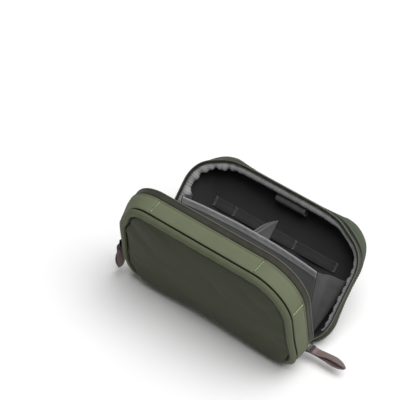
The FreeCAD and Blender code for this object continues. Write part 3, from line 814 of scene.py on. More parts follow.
def settle(piece, cap, pinned):
    """Swells a padded piece with Blender's cloth, and moves no point further than cap."""
    remesh = piece.modifiers.new("even", "REMESH")
    remesh.mode = "VOXEL"
    remesh.voxel_size = VOXEL
    flatten(piece)
    mesh = piece.data
    rest = points_of(mesh)
    held = piece.vertex_groups.new(name="held")
    for index in np.nonzero(pinned(rest))[0]:
        held.add([int(index)], 1.0, "REPLACE")
    moved = rest
    soft = piece.modifiers.new("soft", "CLOTH")
    soft.settings.use_pressure = True
    soft.settings.uniform_pressure_force = AIR_PRESSURE
    soft.settings.effector_weights.gravity = 0
    soft.settings.vertex_group_mass = "held"
    scene = bpy.context.scene
    for step in range(1, SETTLING_FRAMES + 1):
        scene.frame_set(step)
    moved = points_of(piece.evaluated_get(bpy.context.evaluated_depsgraph_get()).to_mesh())
    piece.modifiers.remove(soft)
    scene.frame_set(1)
    change = moved - rest
    far = np.linalg.norm(change, axis=1)[:, None]
    change = change * np.minimum(1, cap / np.maximum(far, 1e-9))
    piece.vertex_groups.clear()
    mesh.vertices.foreach_set("co", (rest + change).ravel())
    mesh.update()


def flatten(piece):
    """Applies a piece's modifiers to its mesh."""
    graph = bpy.context.evaluated_depsgraph_get()
    mesh = bpy.data.meshes.new_from_object(piece.evaluated_get(graph))
    materials = list(piece.data.materials)
    piece.modifiers.clear()
    piece.data = mesh
    mesh.materials.clear()
    for material in materials:
        mesh.materials.append(material)


def subdivided(piece, levels=1):
    """Subdivides a piece's mesh for good."""
    modifier = piece.modifiers.new("smooth", "SUBSURF")
    modifier.levels = modifier.render_levels = levels
    flatten(piece)
    return smooth(piece, 60)


FACE_CREASES = [
    ((-108, 128), (-50, 78), 7, 2.0), ((-80, 138), (-10, 118), 6, 1.4),
    ((-34, 130), (44, 70), 9, 1.6), ((40, 128), (108, 84), 7, 2.0),
    ((86, 40), (112, 74), 5, 1.6), ((-112, 92), (-98, 34), 6, 1.6),
    ((-60, 40), (30, 24), 10, 1.2),
]


def hinged(s):
    """1 along the cover's bottom, where its face runs on under it, and 0 on its zipped sides."""
    x, z = outline(s, 0.0, SAG)
    return 1 - ease(z, 0, 15 * MM)


def make_cover_face():
    """The padded face panel, swollen as cloth and then creased."""
    s = round_the(4 * MM, SAG)

    def face(x, z, share):
        crown = 37.6 + 1.2 * np.sqrt(np.clip(1 - share ** 10, 0, 1))
        low = 1.8 * np.exp(-((z - 14 * MM) / (17 * MM)) ** 2) * np.clip((1 - share) * 14, 0, 1)
        return (crown + low) * MM + 0 * x

    def back(x, z, share):
        return 33.5 * MM + 0 * x

    inset = (7.4 - 6.4 * hinged(s)) * MM
    made = panel("cover_face_panel", "front", s, inset, face, back, SAG, rings=30)
    turn = np.array(front_matrix.to_3x3())
    origin = np.array(front_matrix.translation)

    def held(points):
        local = (points - origin) @ turn
        return -local[:, 1] < 36.4 * MM

    settle(made, 2.2 * MM, held)
    subdivided(made)
    mesh = made.data
    local = (points_of(mesh) - origin) @ turn
    x, z = local[:, 0], local[:, 2]
    front = ease(-local[:, 1], 34.5 * MM, 37 * MM) * ease(z, 6 * MM, 22 * MM)
    rise = ripple(x, z, 70 * MM, 21) * 0.6 * MM + ripple(x, z, 24 * MM, 5) * 0.1 * MM
    for start, stop, width, depth in FACE_CREASES:
        rise = rise + crease(x, z, np.array(start) * MM, np.array(stop) * MM,
                             width * MM, depth * MM * 0.5)
    local[:, 1] -= rise * front
    mesh.vertices.foreach_set("co", (local @ turn.T + origin).ravel())
    smooth(made, 60)
    # the face uses the darker face green, which is painted shade on the shell cloth
    add(made, "face", "front_cover", "cover_cloth", "cover_face", "cover_foam")


# thickness of the dark cord beside the face, thin at the left and full at the right; the cord is
# partly real piping and partly painted shadow along the seam
CORD_THIN, CORD_FULL = 0.25 * MM, 0.42 * MM


def make_cover_rim():
    """The puffy rolled band round the cover, and the thin dark cord beside the face, which is
    partly real piping and partly a painted shadow line along the seam.
    """
    s = round_the(1.6 * MM, SAG)
    d = np.array([33.3, 33.1, 33.7, 34.7, 35.9, 37.1, 38.2, 38.9, 39.1, 38.6, 37.6, 36.4,
                  34.5, 33.4]) * MM
    inset = np.array([1.9, 0.5, -0.5, -0.8, -0.6, 0.1, 1.2, 2.8, 4.5, 6.0, 6.9, 7.3, 7.3,
                      5.0]) * MM
    out_d = np.array([0, 0, 0, .1, .3, .6, .8, 1, 1, .7, .2, 0, 0, 0])
    out_in = np.array([0, .3, .7, 1, .9, .8, .5, .2, 0, -.2, 0, 0, 0, 0])
    fold = (ripple(s[:, None], d[None, :] * 2 - inset[None, :], 17 * MM, 31)
            * (0.55 + 0.45 * np.sin(s / (0.075))[:, None] ** 2))
    fine = ripple(s[:, None], d[None, :] - inset[None, :] * 2, 7 * MM, 13)
    lift = (0.42 * fold + 0.13 * fine) * MM
    tucked = hinged(s)[:, None]
    slit = 1.3 * MM * np.exp(-((s - way_to(LENGTH / 2, 60 * MM, SAG)) / (34 * MM)) ** 2)
    depth = d[None, :] + lift * out_d - 2.6 * MM * tucked * ease(d[None, :], 34 * MM, 39 * MM)
    inward = inset[None, :] - lift * out_in + (slit[:, None] + 1.2 * MM * tucked) * out_in
    # the rim uses the darker rim green, which is painted shade on the shell cloth
    rim = add(band("cover_rim_cloth", "front", s, depth, inward, SAG), "rim", "front_cover",
              "shell_cloth", "cover_rim")
    # the dark cord along the face seam: partly real piping, partly a painted shadow line
    x, z = outline(s, (7.1 - 5.4 * hinged(s)) * MM + drawn("front", s, 36 * MM), SAG)
    path = in_half("front", x, (38.1 - 2.2 * hinged(s)) * MM, z)
    thickness = CORD_THIN + (CORD_FULL - CORD_THIN) * ease(x, 0.0, LENGTH / 3)
    add(tube("face_piping_and_shadow_line", path, thickness, closed=True), "piping", "front_cover", "zip_tape")


def make_cover_back():
    """The cover's lining."""
    s = round_the(4 * MM, SAG)

    def face(x, z, share):
        return 32.75 * MM + ripple(x, z, 50 * MM, 41) * 0.12 * MM

    def back(x, z, share):
        return 33.4 * MM + 0 * x

    add(panel("cover_liner", "front", s, 5.3 * MM, face, back, SAG, rings=26), "charcoal",
        "front_cover", "lining_cloth", "cover_lining")


# ------------------------------------------------------------------ flat cloth

def sheet_of(name, middle, thickness):
    """A closed thin sheet round a grid of points."""
    normal = grid_normals(middle)
    thickness = np.broadcast_to(thickness, middle.shape[:2])[..., None]
    rows, columns = middle.shape[:2]
    points = doubled(middle + normal * thickness / 2, middle - normal * thickness / 2)
    du = np.linalg.norm(np.diff(middle, axis=0), axis=2).mean(1)
    dv = np.linalg.norm(np.diff(middle, axis=1), axis=2).mean(0)
    flat = metric(np.concatenate([[0], np.cumsum(du)])[:, None],
                  np.concatenate([[0], np.cumsum(dv)])[None, :])
    index = np.arange(rows * 2 * columns).reshape(rows, 2 * columns)
    faces = quads(np.hstack([index, index[:, :1]]))
    for row in (0, rows - 1):
        for j in range(columns - 1):
            faces.append([int(index[row, j]), int(index[row, j + 1]),
                          int(index[row, 2 * columns - 2 - j]),
                          int(index[row, 2 * columns - 1 - j])])
    return mesh_piece(name, points, faces, doubled(flat, flat))


def in_wall(x, back, height):
    """Row-frame points from the inner wall's own x, distance behind its plane, and height."""
    return to_row(wall_matrix, x, back, height)


BOW = 8 * MM


def wall_bow(x, height):
    """How far the loaded wall has bowed towards the rear."""
    rise = np.clip(height / WALL_HEIGHT, 0, 1)
    full = BOW * (1 - (x / WALL_HALF) ** 2) * rise ** 1.3
    fold = ripple(x, height, 55 * MM, 77) * 1.3 * MM * rise * np.sin(math.pi * rise * 0.9)
    edge = np.clip((WALL_HALF - np.abs(x)) / (12 * MM), 0, 1)
    return full + fold * edge


def make_inner_wall():
    """The tall inner pocket wall with its doubled, twice-stitched hem."""
    x = np.linspace(-WALL_HALF, WALL_HALF, 90)[:, None]
    height = np.linspace(0, WALL_HEIGHT - 4 * MM, 40)[None, :]
    points = in_wall(x, wall_bow(x, height), height)
    wall = add(sheet_of("inner_wall_cloth", points, 1.0 * MM), "pocket", "pocket_wall",
               "pocket_cloth", "inner_wall")
    height = np.linspace(WALL_HEIGHT - HEM_HEIGHT, WALL_HEIGHT, 10)[None, :]
    ruck = 0.22 * MM * np.sin(x / (2.2 * MM)) * np.sin(math.pi * np.linspace(0, 1, 10))[None, :]
    points = in_wall(x, wall_bow(x, height) + ruck, height)
    thick = np.interp(np.linspace(0, 1, 10), [0, 0.1, 0.3, 0.7, 0.92, 1],
                      [1.3, 2.0, 1.8, 1.8, 2.1, 0.8]) * MM
    # the hem uses the lighter hem grey, which is painted light on the pocket cloth
    hem = add(sheet_of("wall_hem_cloth", points, thick[None, :]), "hem", "pocket_wall",
              "pocket_cloth", "wall_hem")
    line_x = np.linspace(-WALL_HALF + 2 * MM, WALL_HALF - 2 * MM, 120)
    for number, down in enumerate((1.9 * MM, 6.6 * MM), 1):
        level = np.full(120, WALL_HEIGHT - down)
        for face in (-1, 1):
            path = in_wall(line_x, wall_bow(line_x, level) + face * 0.95 * MM, level)
            normal = facing(wall_matrix, face, 120)
            label = "front" if face < 0 else "back"
            add(stitch_row(f"hem_stitches_{label}_{number}", path, normal, radius=0.26 * MM),
                "grey thread", "pocket_wall", "thread")


def join_ends(first, second, rows, columns, fold):
    """A grid of points from one edge line to another, with fold added across it."""
    u = np.linspace(0, 1, rows)[:, None, None]
    grid = first[None, :, :] * (1 - u) + second[None, :, :] * u
    return grid + grid_normals(grid) * fold[..., None]


def fold_sheet(piece, look, points, start, end):
    """Finishes a sheet that folds between the inner wall and the tray."""
    dress(piece, look)
    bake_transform(piece)


def span_to_tray(first, second):
    """Where a blend starts and ends, if all of the sheet's edge at the tray is to stay there."""
    begin = first.mean(0)
    way = second.mean(0) - begin
    way /= np.linalg.norm(way)
    near = ((first - begin) @ way).max()
    far = ((second - begin) @ way).min()
    return begin + way * near, begin + way * max(far, near + 2 * MM)


def make_side_panels():
    """Soft folded panels that close the pocket's two ends."""
    rows, columns = 34, 26
    u = np.linspace(0, 1, rows)[:, None]
    v = np.linspace(0, 1, columns)[None, :]
    for name, hand in (("left", -1), ("right", 1)):
        height = np.linspace(2 * MM, WALL_HEIGHT, columns)
        first = in_wall(hand * (WALL_HALF + 0.8 * MM), 0.0, height)
        second = in_half("rear", hand * np.linspace(98, 110.5, columns) * MM,
                         np.linspace(15, 17, columns) * MM,
                         np.linspace(14, 84, columns) * MM)
        fold = (2.6 * MM * np.sin(2 * math.pi * (1.15 * u + 0.25 * v)) * np.sin(math.pi * u)
                * (0.35 + 0.65 * v) + ripple(u * 0.04, v * 0.08, 30 * MM, 15) * 0.7 * MM
                * np.sin(math.pi * u))
        points = join_ends(first, second, rows, columns, fold)
        thick = np.full((rows, columns), 1.0 * MM)
        thick[:, -4:] = 1.7 * MM
        made = sheet_of(f"side_panel_{name}_cloth", points, thick)
        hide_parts(f"side_panel_{name}")
        fold_sheet(made, "fold", points, first.mean(0), second.mean(0))


def make_divider():
    """The doubled upright divider from the wall to the back of the tray."""
    rows, columns = 26, 22
    u = np.linspace(0, 1, rows)[:, None]
    v = np.linspace(0, 1, columns)[None, :]
    height = np.linspace(HEM_HEIGHT, WALL_HEIGHT - 2 * HEM_HEIGHT, columns)
    foot = -13 * MM
    first = in_wall(foot, wall_bow(np.full(columns, foot), height) + 1.4 * MM, height)
    second = in_half("rear", -3 * MM, 25.6 * MM, np.linspace(34, 104, columns) * MM)
    for number, face in enumerate((-1, 1), 1):
        fold = (face * 2.3 * MM * np.sin(math.pi * u) ** 0.7 * (0.3 + 0.7 * v)
                + 1.6 * MM * np.sin(2 * math.pi * u) * v)
        points = join_ends(first, second, rows, columns, fold)
        thick = np.full((rows, columns), 0.8 * MM)
        thick[:, -2:] = 1.5 * MM
        made = sheet_of(f"divider_cloth_{number}", points, thick)
        if number == 1:
            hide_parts("divider")
        fold_sheet(made, "pocket", points, *span_to_tray(first, second))


def pocket_outline(half, low, high, top_radius, low_radius, count=96):
    """A rounded rectangle's points (x, z), evenly spaced round it."""
    corners = [(half - low_radius, low + low_radius, low_radius, -90),
               (half - top_radius, high - top_radius, top_radius, 0),
               (top_radius - half, high - top_radius, top_radius, 90),
               (low_radius - half, low + low_radius, low_radius, 180)]
    points = []
    for cx, cz, radius, begin in corners:
        for step in range(9):
            angle = math.radians(begin + 90 * step / 8)
            points.append((cx + radius * math.cos(angle), cz + radius * math.sin(angle)))
    points = np.array(points + points[:1])
    way = running_length(points)
    even = np.linspace(0, way[-1], count, endpoint=False)
    return np.interp(even, way, points[:, 0]), np.interp(even, way, points[:, 1])


def flat_pocket(name, edge, near, far, slack, seed, rings=18):
    """A flat sewn panel in the front half between two depths, with a soft face."""
    x, z, share = filled(edge, (edge[1].min() + edge[1].max()) / 2, rings)
    soft = np.clip((1 - share) * 6, 0, 1)
    face = far + ripple(x, z, 42 * MM, seed) * slack * soft
    hemmed = np.where(share > 0.985, far - (far - near) * 0.3, face)
    points = doubled(in_half("front", x, near, z), in_half("front", x, hemmed, z))
    flat = metric(x, z)
    return grid_piece(name, points, around=True, uv=doubled(flat, flat))


def make_organizer():
    """The stiffened board with two pocket tiers, and the cover's slip pocket."""
    tiers = [
        ("board_cloth", (92, 8, 122, 30, 10), 14.0, 15.7, 0.1, "charcoal", "organizer_board"),
        ("upper_tier_cloth", (78, 8, 96, 4, 10), 15.8, 16.6, 0.25, "pocket",
         "organizer_upper_tier"),
        ("lower_tier_cloth", (92, 8, 66, 4, 10), 16.9, 17.7, 0.25, "pocket",
         "organizer_lower_tier"),
    ]
    for name, (half, low, high, top, bottom), near, far, slack, look, node in tiers:
        edge = pocket_outline(half * MM, low * MM, high * MM, top * MM, bottom * MM)
        made = add(flat_pocket(name, edge, near * MM, far * MM, slack * MM, 51 + len(name)), look,
                   "front_half", "pocket_cloth", node)
        if look == "pocket":
            line = np.linspace(-half + 6, half - 6, 60) * MM
            points = in_half("front", line, far * MM, (high - 3.5) * MM)
            add(stitch_row(name + "_stitches", points, facing(front_matrix, -1, 60)),
                "grey thread", "front_half", "thread")
    for x in (-46, 0, 46):
        points = in_half("front", x * MM, 17.7 * MM, np.linspace(12, 62, 30) * MM)
        add(stitch_row(f"tier_stitches_{x + 46}", points, facing(front_matrix, -1, 30)),
            "grey thread", "front_half", "thread")
    edge = pocket_outline(95 * MM, 14 * MM, 76 * MM, 6 * MM, 12 * MM)
    pocket = add(flat_pocket("slip_pocket_cloth", edge, 31.5 * MM, 32.5 * MM, 0.1 * MM, 61),
                 "pocket", "front_cover", "pocket_cloth", "cover_slip_pocket")


def make_compartment_wall():
    """The padded wall between the two compartments."""
    s = round_the(4 * MM)

    def face(x, z, share):
        soft = np.clip((1 - share) * 9, 0, 1)
        return 9.5 * MM + (ripple(x, z, 60 * MM, 71) * 0.6 - 0.5) * MM * soft

    def back(x, z, share):
        return 10.8 * MM + 0 * x

    add(panel("compartment_wall_cloth", "front", s, 1.9 * MM, face, back, rings=30), "charcoal",
        "front_half", "lining_cloth", "compartment_wall")
    x, z = outline(np.linspace(0, perimeter() - MM, 260), 6.5 * MM)
    row = stitch_row("compartment_wall_stitches", in_half("front", x, 9.3 * MM, z),
                     facing(front_matrix, 1, 260))
    add(row, "grey thread", "front_half", "thread")


def folded_strip(name, profile, thickness, nodes):
    """A cloth strip folded over a hinge; profile gives the half, depth and height of its lines.
    """
    x = np.linspace(-SPINE_HALF, SPINE_HALF, 60)
    lines = [in_half(side, x, depth * MM, rise * MM) for side, depth, rise in profile]
    points = np.stack(lines, 1)
    made = sheet_of(name, points, thickness)
    dress(made, "shell")
    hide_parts(*nodes)
    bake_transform(made)


def make_hinge_strips():
    """The spine strip between the halves, and the strip that the cover's lower edge is sewn to."""
    half = (9.3, 7, 4.5, 2.6, 1.4)
    spine = [("front", depth, 0.7) for depth in half]
    spine += [("front", 0, 0.35)]
    spine += [("rear", depth, 0.7) for depth in half[::-1]]
    folded_strip("spine_cloth", spine, 1.2 * MM, ("spine_front", "spine_rear", "spine_fold"))
    under = [("front", 29.4, 0.5), ("front", 30.6, -0.7), ("front", 31.6, -1.3),
             ("front", 32.4, -1.3), ("front", 33.6, -0.6), ("front", 34.6, 0.6)]
    folded_strip("cover_hinge_cloth", under, 0.8 * MM, ("cover_fold",))


# ------------------------------------------------------------------ rear half

FLOOR_GAP = 0.1 * MM
TIGHTER = 20 * MM  # how much smaller the rounding below the walls is at a corner
CORNER_SWELL = 1.7 * MM
WALL_RINGS, BASE_RINGS, HELD_RINGS = 22, 24, 5


def boxy(s):
    """1 at the rear half's corners, whose walls stand straight, and 0 between them."""
    total = np.zeros(len(s))
    for hand in (-1, 1):
        total += 0.95 * np.exp(-((s - corner_place(hand, 64)) / (36 * MM)) ** 2)
        low = way_to(hand * (LENGTH / 2 - 7 * MM), 15 * MM)
        total += 0.6 * np.exp(-((s - low) / (34 * MM)) ** 2)
    return np.clip(total, 0, 1)


def bend_at(s, radius):
    """Radius over which a wall of the tray turns into its bottom, smaller at the corners."""
    return radius - TIGHTER * boxy(s)


def swell_at(s, deep, depth):
    """How far a corner of the tray stands out, most at half depth."""
    return CORNER_SWELL * boxy(s) * np.sin(math.pi * np.clip(deep / depth, 0, 1)) ** 2


def tray_skin(name, s, first, depth, radius, edge, thickness, slack, seed, both_ways):
    """A thin tray: walls from first to depth, which turn in to a soft flat bottom.

    Its slack cloth waves in and out if both_ways is set, and only in if it is not.
    """
    bend = bend_at(s, radius)
    start = depth - bend
    straight = np.maximum(start - first, 0)
    begin = np.arcsin(np.clip((first - start) / bend, 0, 1))
    total = straight + bend * (math.pi / 2 - begin)
    wall_x, wall_z, wall_d = [], [], []
    for t in np.linspace(0, 1, WALL_RINGS):
        way = t * total
        angle = begin + np.maximum(way - straight, 0) / bend
        flat = way < straight
        deep = np.where(flat, first + way, start + bend * np.sin(angle))
        inset = edge + np.where(flat, 0, bend - bend * np.cos(angle))
        x, z = outline(s, inset + drawn("rear", s, deep) - swell_at(s, deep, depth))
        wall_x.append(x)
        wall_z.append(z)
        wall_d.append(deep)
    base_x, base_z = wall_x[-1], wall_z[-1]
    for part in np.linspace(1, 0, BASE_RINGS + 1)[1:]:
        wall_x.append(base_x * part)
        wall_z.append(HEIGHT / 2 + (base_z - HEIGHT / 2) * part)
        wall_d.append(np.full(len(s), depth))
    x, z, d = (np.stack(values, 1) for values in (wall_x, wall_z, wall_d))
    points = in_half("rear", x, d, z)
    closed = np.concatenate([points, points[:1]], 0)
    along = np.gradient(closed, axis=0)[:-1]
    across = np.gradient(points, axis=1)
    normal = np.cross(along, across)
    middle = points.mean((0, 1))
    size = np.linalg.norm(normal, axis=2)[..., None]
    normal = np.where(size > 1e-12, normal / np.maximum(size, 1e-12), 0)
    flat_on = facing(rear_matrix, 1, 1)[0]
    normal[:, WALL_RINGS:] = flat_on * np.sign((normal[:, WALL_RINGS + 2] @ flat_on).mean())
    if (normal * (points - middle)).sum() < 0:
        normal = -normal
    free = np.clip(np.arange(points.shape[1]) / HELD_RINGS, 0, 1)[None, :]
    wave = ripple(x + d * 0.8, z + d * 0.6, 46 * MM, seed)
    wave += 0.35 * ripple(x + d, z - d, 15 * MM, seed + 1)
    if both_ways:
        lift = wave * slack * free
    else:
        lift = -(wave * 0.5 + 0.5) * slack * free
    outer = points + normal * lift[..., None]
    inner = outer - normal * thickness
    outer[..., 2] = np.maximum(outer[..., 2], FLOOR_GAP)
    inner[..., 2] = np.maximum(inner[..., 2], FLOOR_GAP + 0.4 * thickness)
    flat = metric(x + d * np.sign(x) * 0.6, z + d * 0.6)
    return grid_piece(name, doubled(outer, inner), around=True, across=True,
                      uv=doubled(flat, flat))


def make_rear_tray():
    """The rear half's rounded shell and its padded lining."""
    s = round_the(4 * MM)
    shell = tray_skin("rear_shell_cloth", s, 9.5 * MM, REAR_DEPTH, BACK_ROUND, 0.1 * MM,
                      SHELL, 0.55 * MM, 81, True)
    # the rear shell uses the darker rear green, which is painted shade on the shell cloth
    add(shell, "rear shell", "rear_half", "shell_cloth", "rear_shell")
    liner = tray_skin("rear_liner", s, 9.5 * MM, 29.4 * MM, 29.2 * MM, 1.6 * MM,
                      1.8 * MM, 0.9 * MM, 91, False)
    add(liner, "charcoal", "rear_half", "lining_cloth", "rear_lining", "rear_foam")
    around = np.append(round_the(2 * MM), perimeter() - 0.1 * MM)
    deep = 12.3 * MM
    bend = bend_at(around, BACK_ROUND)
    turned = bend - np.sqrt(bend ** 2 - np.clip(deep - REAR_DEPTH + bend, 0, bend) ** 2)
    inset = turned - 0.1 * MM - swell_at(around, deep, REAR_DEPTH)
    row = stitch_along("rear_edge_stitches", "rear", around, deep, inset,
                       length=2.2 * MM, gap=0.9 * MM, radius=0.2 * MM)
    add(row, "dark thread", "rear_half", "thread")


def make_lining_roll():
    """The puffy lining edge inside the rear half, rucked by its stitching."""
    start = way_to(LENGTH / 2 - 4 * MM, 22 * MM)
    stop = way_to(-LENGTH / 2, 30 * MM)
    s = lengthwise(start, stop, 0.55 * MM)
    share = (s - start) / (stop - start)
    taper = np.clip(np.minimum(share, 1 - share) * 28, 0.12, 1) ** 0.5
    angle = np.linspace(0, 2 * math.pi, 18, endpoint=False)
    ruck = np.sin(2 * math.pi * s / (3.3 * MM) + 1.3 * ripple(s, s * 0, 21 * MM, 5))
    scallop = ripple(s, s * 0, 13 * MM, 17)
    zigzag = np.sin(2 * math.pi * s / (11 * MM)) * np.clip((0.22 - share) * 20, 0, 1)
    left = ease(share, 0.62, 0.72)
    top = ease(share, 0.3, 0.4)
    full = 0.8 + 0.35 * top
    size = (1 + 0.06 * ruck + (0.1 + 0.25 * left) * scallop) * taper * full
    centre_d = 6.9 * MM - 0.2 * MM * scallop
    centre_in = (5.6 + 0.7 * top) * MM + 0.7 * MM * zigzag + 1.6 * MM * left * scallop
    d = centre_d[:, None] + 3.0 * MM * size[:, None] * np.sin(angle)[None, :]
    inset = centre_in[:, None] + 3.9 * MM * size[:, None] * np.cos(angle)[None, :]
    # the roll uses the lighter puffy grey, which is painted light on the lining cloth
    made = add(band("rear_lining_roll_cloth", "rear", s, d, inset, closed=False), "puffy",
               "rear_half", "lining_cloth", "rear_lining_roll")
    sewn = lengthwise(start + 3 * MM, stop - 3 * MM, 2 * MM)
    x, z = outline(sewn, 2.5 * MM + drawn("rear", sewn, MM))
    row = stitch_row("lining_roll_stitches", in_half("rear", x, 4.6 * MM, z),
                     facing(rear_matrix, -1, len(sewn)), radius=0.24 * MM)
    add(row, "grey thread", "rear_half", "thread")


STRAP_TACKS = (-84, -56, -14, 28, 84)  # in mm along the strap
STRAP_HALF = 86 * MM


def make_strap():
    """The elastic strap across the back of the tray, tacked down at intervals."""
    line = np.linspace(-STRAP_HALF, STRAP_HALF, 260)
    bow = np.zeros(260)
    for first, last in zip(STRAP_TACKS[:-1], STRAP_TACKS[1:]):
        part = np.clip((line / MM - first) / (last - first), 0, 1)
        bow += np.sin(math.pi * part) ** 1.3 * (last - first) * 0.035 * MM
    x = line[:, None]
    level = np.linspace(83, 95, 14)[None, :] * MM
    edge = np.abs(np.linspace(-1, 1, 14))[None, :] ** 3
    ribs = 0.12 * MM * np.sin(2 * math.pi * x / (2 * MM))
    middle = in_half("rear", x, 26.4 * MM - bow[:, None] + edge * 0.25 * MM + ribs, level)
    made = add(sheet_of("elastic_strap_cloth", middle, 1.0 * MM), "elastic", "rear_half",
               "elastic", "elastic_strap")
    zig = np.linspace(84, 94, 11) * MM
    side = np.where(np.arange(11) % 2, 1.4, -1.4)
    for number, tack in enumerate(STRAP_TACKS):
        points = in_half("rear", (tack + side) * MM, 25.75 * MM, zig)
        add(tube(f"strap_tack_{number}", points, 0.3 * MM, 6), "grey thread", "rear_half",
            "thread")
    wave = np.linspace(-84, 84, 172) * MM
    zig = np.where(np.arange(172) % 2, 0.7, -0.7)
    dip = np.interp(wave, line, bow)
    for number, level in enumerate((85.5, 92.5)):
        points = in_half("rear", wave, 25.8 * MM - dip, (level + zig) * MM)
        add(tube(f"strap_zigzag_{number}", points, 0.2 * MM, 5), "dark thread", "rear_half",
            "thread")


SLEEVE_X, SLEEVE_D, SLEEVE_Z = 9 * MM, 14.5 * MM, 129 * MM


def make_pen_loop():
    """The cloth pen sleeve below the lining roll, with its sewn flap."""
    x = np.linspace(-20, 20, 40) * MM
    angle = np.linspace(0, 2 * math.pi, 40, endpoint=False)
    slump = ripple(x[:, None], angle[None, :] * 0.01, 20 * MM, 33) * 0.25 * MM
    rings = []
    for radius in (5.2 * MM, 4.4 * MM):
        d = SLEEVE_D + (radius + slump) * np.sin(angle)[None, :]
        z = SLEEVE_Z + (radius + slump) * np.cos(angle)[None, :] * 0.95
        rings.append(in_half("rear", x[:, None] + SLEEVE_X, d, z))
    points = np.concatenate([rings[0], rings[1][::-1]], 0)
    uv = metric(np.concatenate([x, x[::-1]])[:, None], angle[None, :] * 0.006)
    add(grid_piece("pen_sleeve", points, around=True, across=True, uv=uv), "sleeve", "rear_half",
        "pocket_cloth", "pen_loop")
    u = np.linspace(-19.5, 19.5, 30)[:, None] * MM + SLEEVE_X
    v = np.linspace(0, 1, 8)[None, :]
    flap = in_half("rear", u, SLEEVE_D + (5.0 - 2.0 * v) * MM, SLEEVE_Z + (-1.5 + 4.5 * v) * MM)
    add(sheet_of("pen_sleeve_flap", flap, 0.9 * MM), "sleeve", "rear_half", "pocket_cloth")


# ------------------------------------------------------------------ sliders and pulls

def frame_of(origin, along, beside, up):
    """A 4x4 array that places points given along, beside and above a track."""
    matrix = np.eye(4)
    for column, axis in enumerate((along, beside, up)):
        axis = np.array(axis, float)
        matrix[:3, column] = axis / np.linalg.norm(axis)
    matrix[:3, 3] = origin
    return matrix


def moved_by(matrix, points):
    """Points placed by a 4x4 array."""
    points = np.asarray(points, float)
    return points @ matrix[:3, :3].T + matrix[:3, 3]


def plate(polygon, low, high, matrix, crown=0.0):
    """A metal plate from a flat outline, its upper rim drawn in to a soft edge."""
    polygon = np.asarray(polygon, float)
    centre = polygon.mean(0)
    height = high - low
    levels = [(1 - 0.05, 0), (1, 0.25), (1, 0.7), (0.94, 0.93), (0.84, 1.0)]
    rows = []
    for scale, part in levels:
        ring = centre + (polygon - centre) * scale
        rows.append(np.column_stack([ring, np.full(len(ring), low + height * part)]))
    cap = centre + (polygon - centre) * 0.4
    rows.append(np.column_stack([cap, np.full(len(cap), high + crown)]))
    return moved_by(matrix, np.stack(rows, 0))


def join_pieces(name, pieces):
    """Makes one object of several."""
    graph = bmesh.new()
    for piece in pieces:
        graph.from_mesh(piece.data)
    mesh = bpy.data.meshes.new(name)
    graph.to_mesh(mesh)
    graph.free()
    for piece in pieces:
        bpy.data.objects.remove(piece)
    return smooth(new_object(name, mesh), 40)


def rounded_corners(points, share=0.28, steps=4):
    """A polygon with its corners rounded off."""
    points = np.asarray(points, float)
    out = []
    for before, here, after in zip(np.roll(points, 1, 0), points, np.roll(points, -1, 0)):
        first, last = here + (before - here) * share, here + (after - here) * share
        for t in np.linspace(0, 1, steps + 1):
            out.append((1 - t) ** 2 * first + 2 * t * (1 - t) * here + t ** 2 * last)
    return np.array(out)


def make_slider(name, matrix, skin, deep, near, inner_far):
    """A slider: two shaped plates, the post between them, and the bail for its pull."""
    outer = [(-6, near * 0.8), (-2, near), (4, near), (6, near * 0.55), (6, 2.6), (4, 4.5),
             (-2, 4.5), (-6, 3.3)]
    inner = [(-6, -3.4), (-2, -4.5), (5, -4.2), (6, -2.6), (6, inner_far * 0.6),
             (5, inner_far * 0.93), (-2, inner_far), (-6, inner_far * 0.75)]
    rings = []
    for polygon, low, high, crown in ((outer, skin, skin + 1.2, 0.15),
                                      (inner, -deep, -deep - 1.2, -0.1)):
        rounded = rounded_corners(np.array(polygon, float) * MM)
        rows = plate(rounded, low * MM, high * MM, matrix, crown * MM)
        rings.append(grid_piece(f"{name}_plate", rows, across=True, ends=True))
    post = rounded_corners(np.array([(2, -.5), (5, -.5), (5, .5), (2, .5)]) * MM)
    rows = plate(post, -deep * MM, skin * MM, matrix)
    rings.append(grid_piece(f"{name}_post", rows, across=True, ends=True))
    top = skin + 1.2
    arch = np.array([(-3.6, 0, top - 0.5), (-3.6, 0, top + 1.1), (-2.6, 0, top + 2.2),
                     (0, 0, top + 2.6), (2.6, 0, top + 2.2), (3.6, 0, top + 1.1),
                     (3.6, 0, top - 0.5)]) * MM
    for offset in (-0.45, 0.0, 0.45):
        line = arch + np.array([0, offset * MM, 0])
        way = np.linspace(0, 1, len(line))
        fine = np.linspace(0, 1, 22)
        path = np.stack([np.interp(fine, way, line[:, i]) for i in range(3)], 1)
        rings.append(tube(f"{name}_bail", moved_by(matrix, path), 0.5 * MM))
    add(join_pieces(f"{name}_body", rings), "metal", name, "dark_metal", name)


# half of the webbing loop seen from its side: along and over, in mm
LOOP = [(5.6, 0), (5.9, 1.15), (7.2, 1.45), (9.5, 1.0), (13, 0.7), (17.5, 0.7), (21, 1.0),
        (27, 1.9), (34, 2.7), (41, 3.0), (46.5, 2.5), (51, 1.5), (54, 0.4)]


def pull_wire(name, matrix):
    """The rounded wire link of a pull."""
    corner = 1.0
    ring = []
    for cx, cy, start in ((7 - corner, 6 - corner, 0), (corner - 0.3, 6 - corner, 90),
                          (corner - 0.3, corner - 6, 180), (7 - corner, corner - 6, 270)):
        for step in range(6):
            angle = math.radians(start + 18 * step)
            ring.append((cx + corner * math.cos(angle), cy + corner * math.sin(angle), 0))
    ring = moved_by(matrix, np.array(ring) * MM)
    add(tube(f"{name}_wire", ring, 0.6 * MM, closed=True), "metal", name, "dark_metal",
        f"{name}_link")


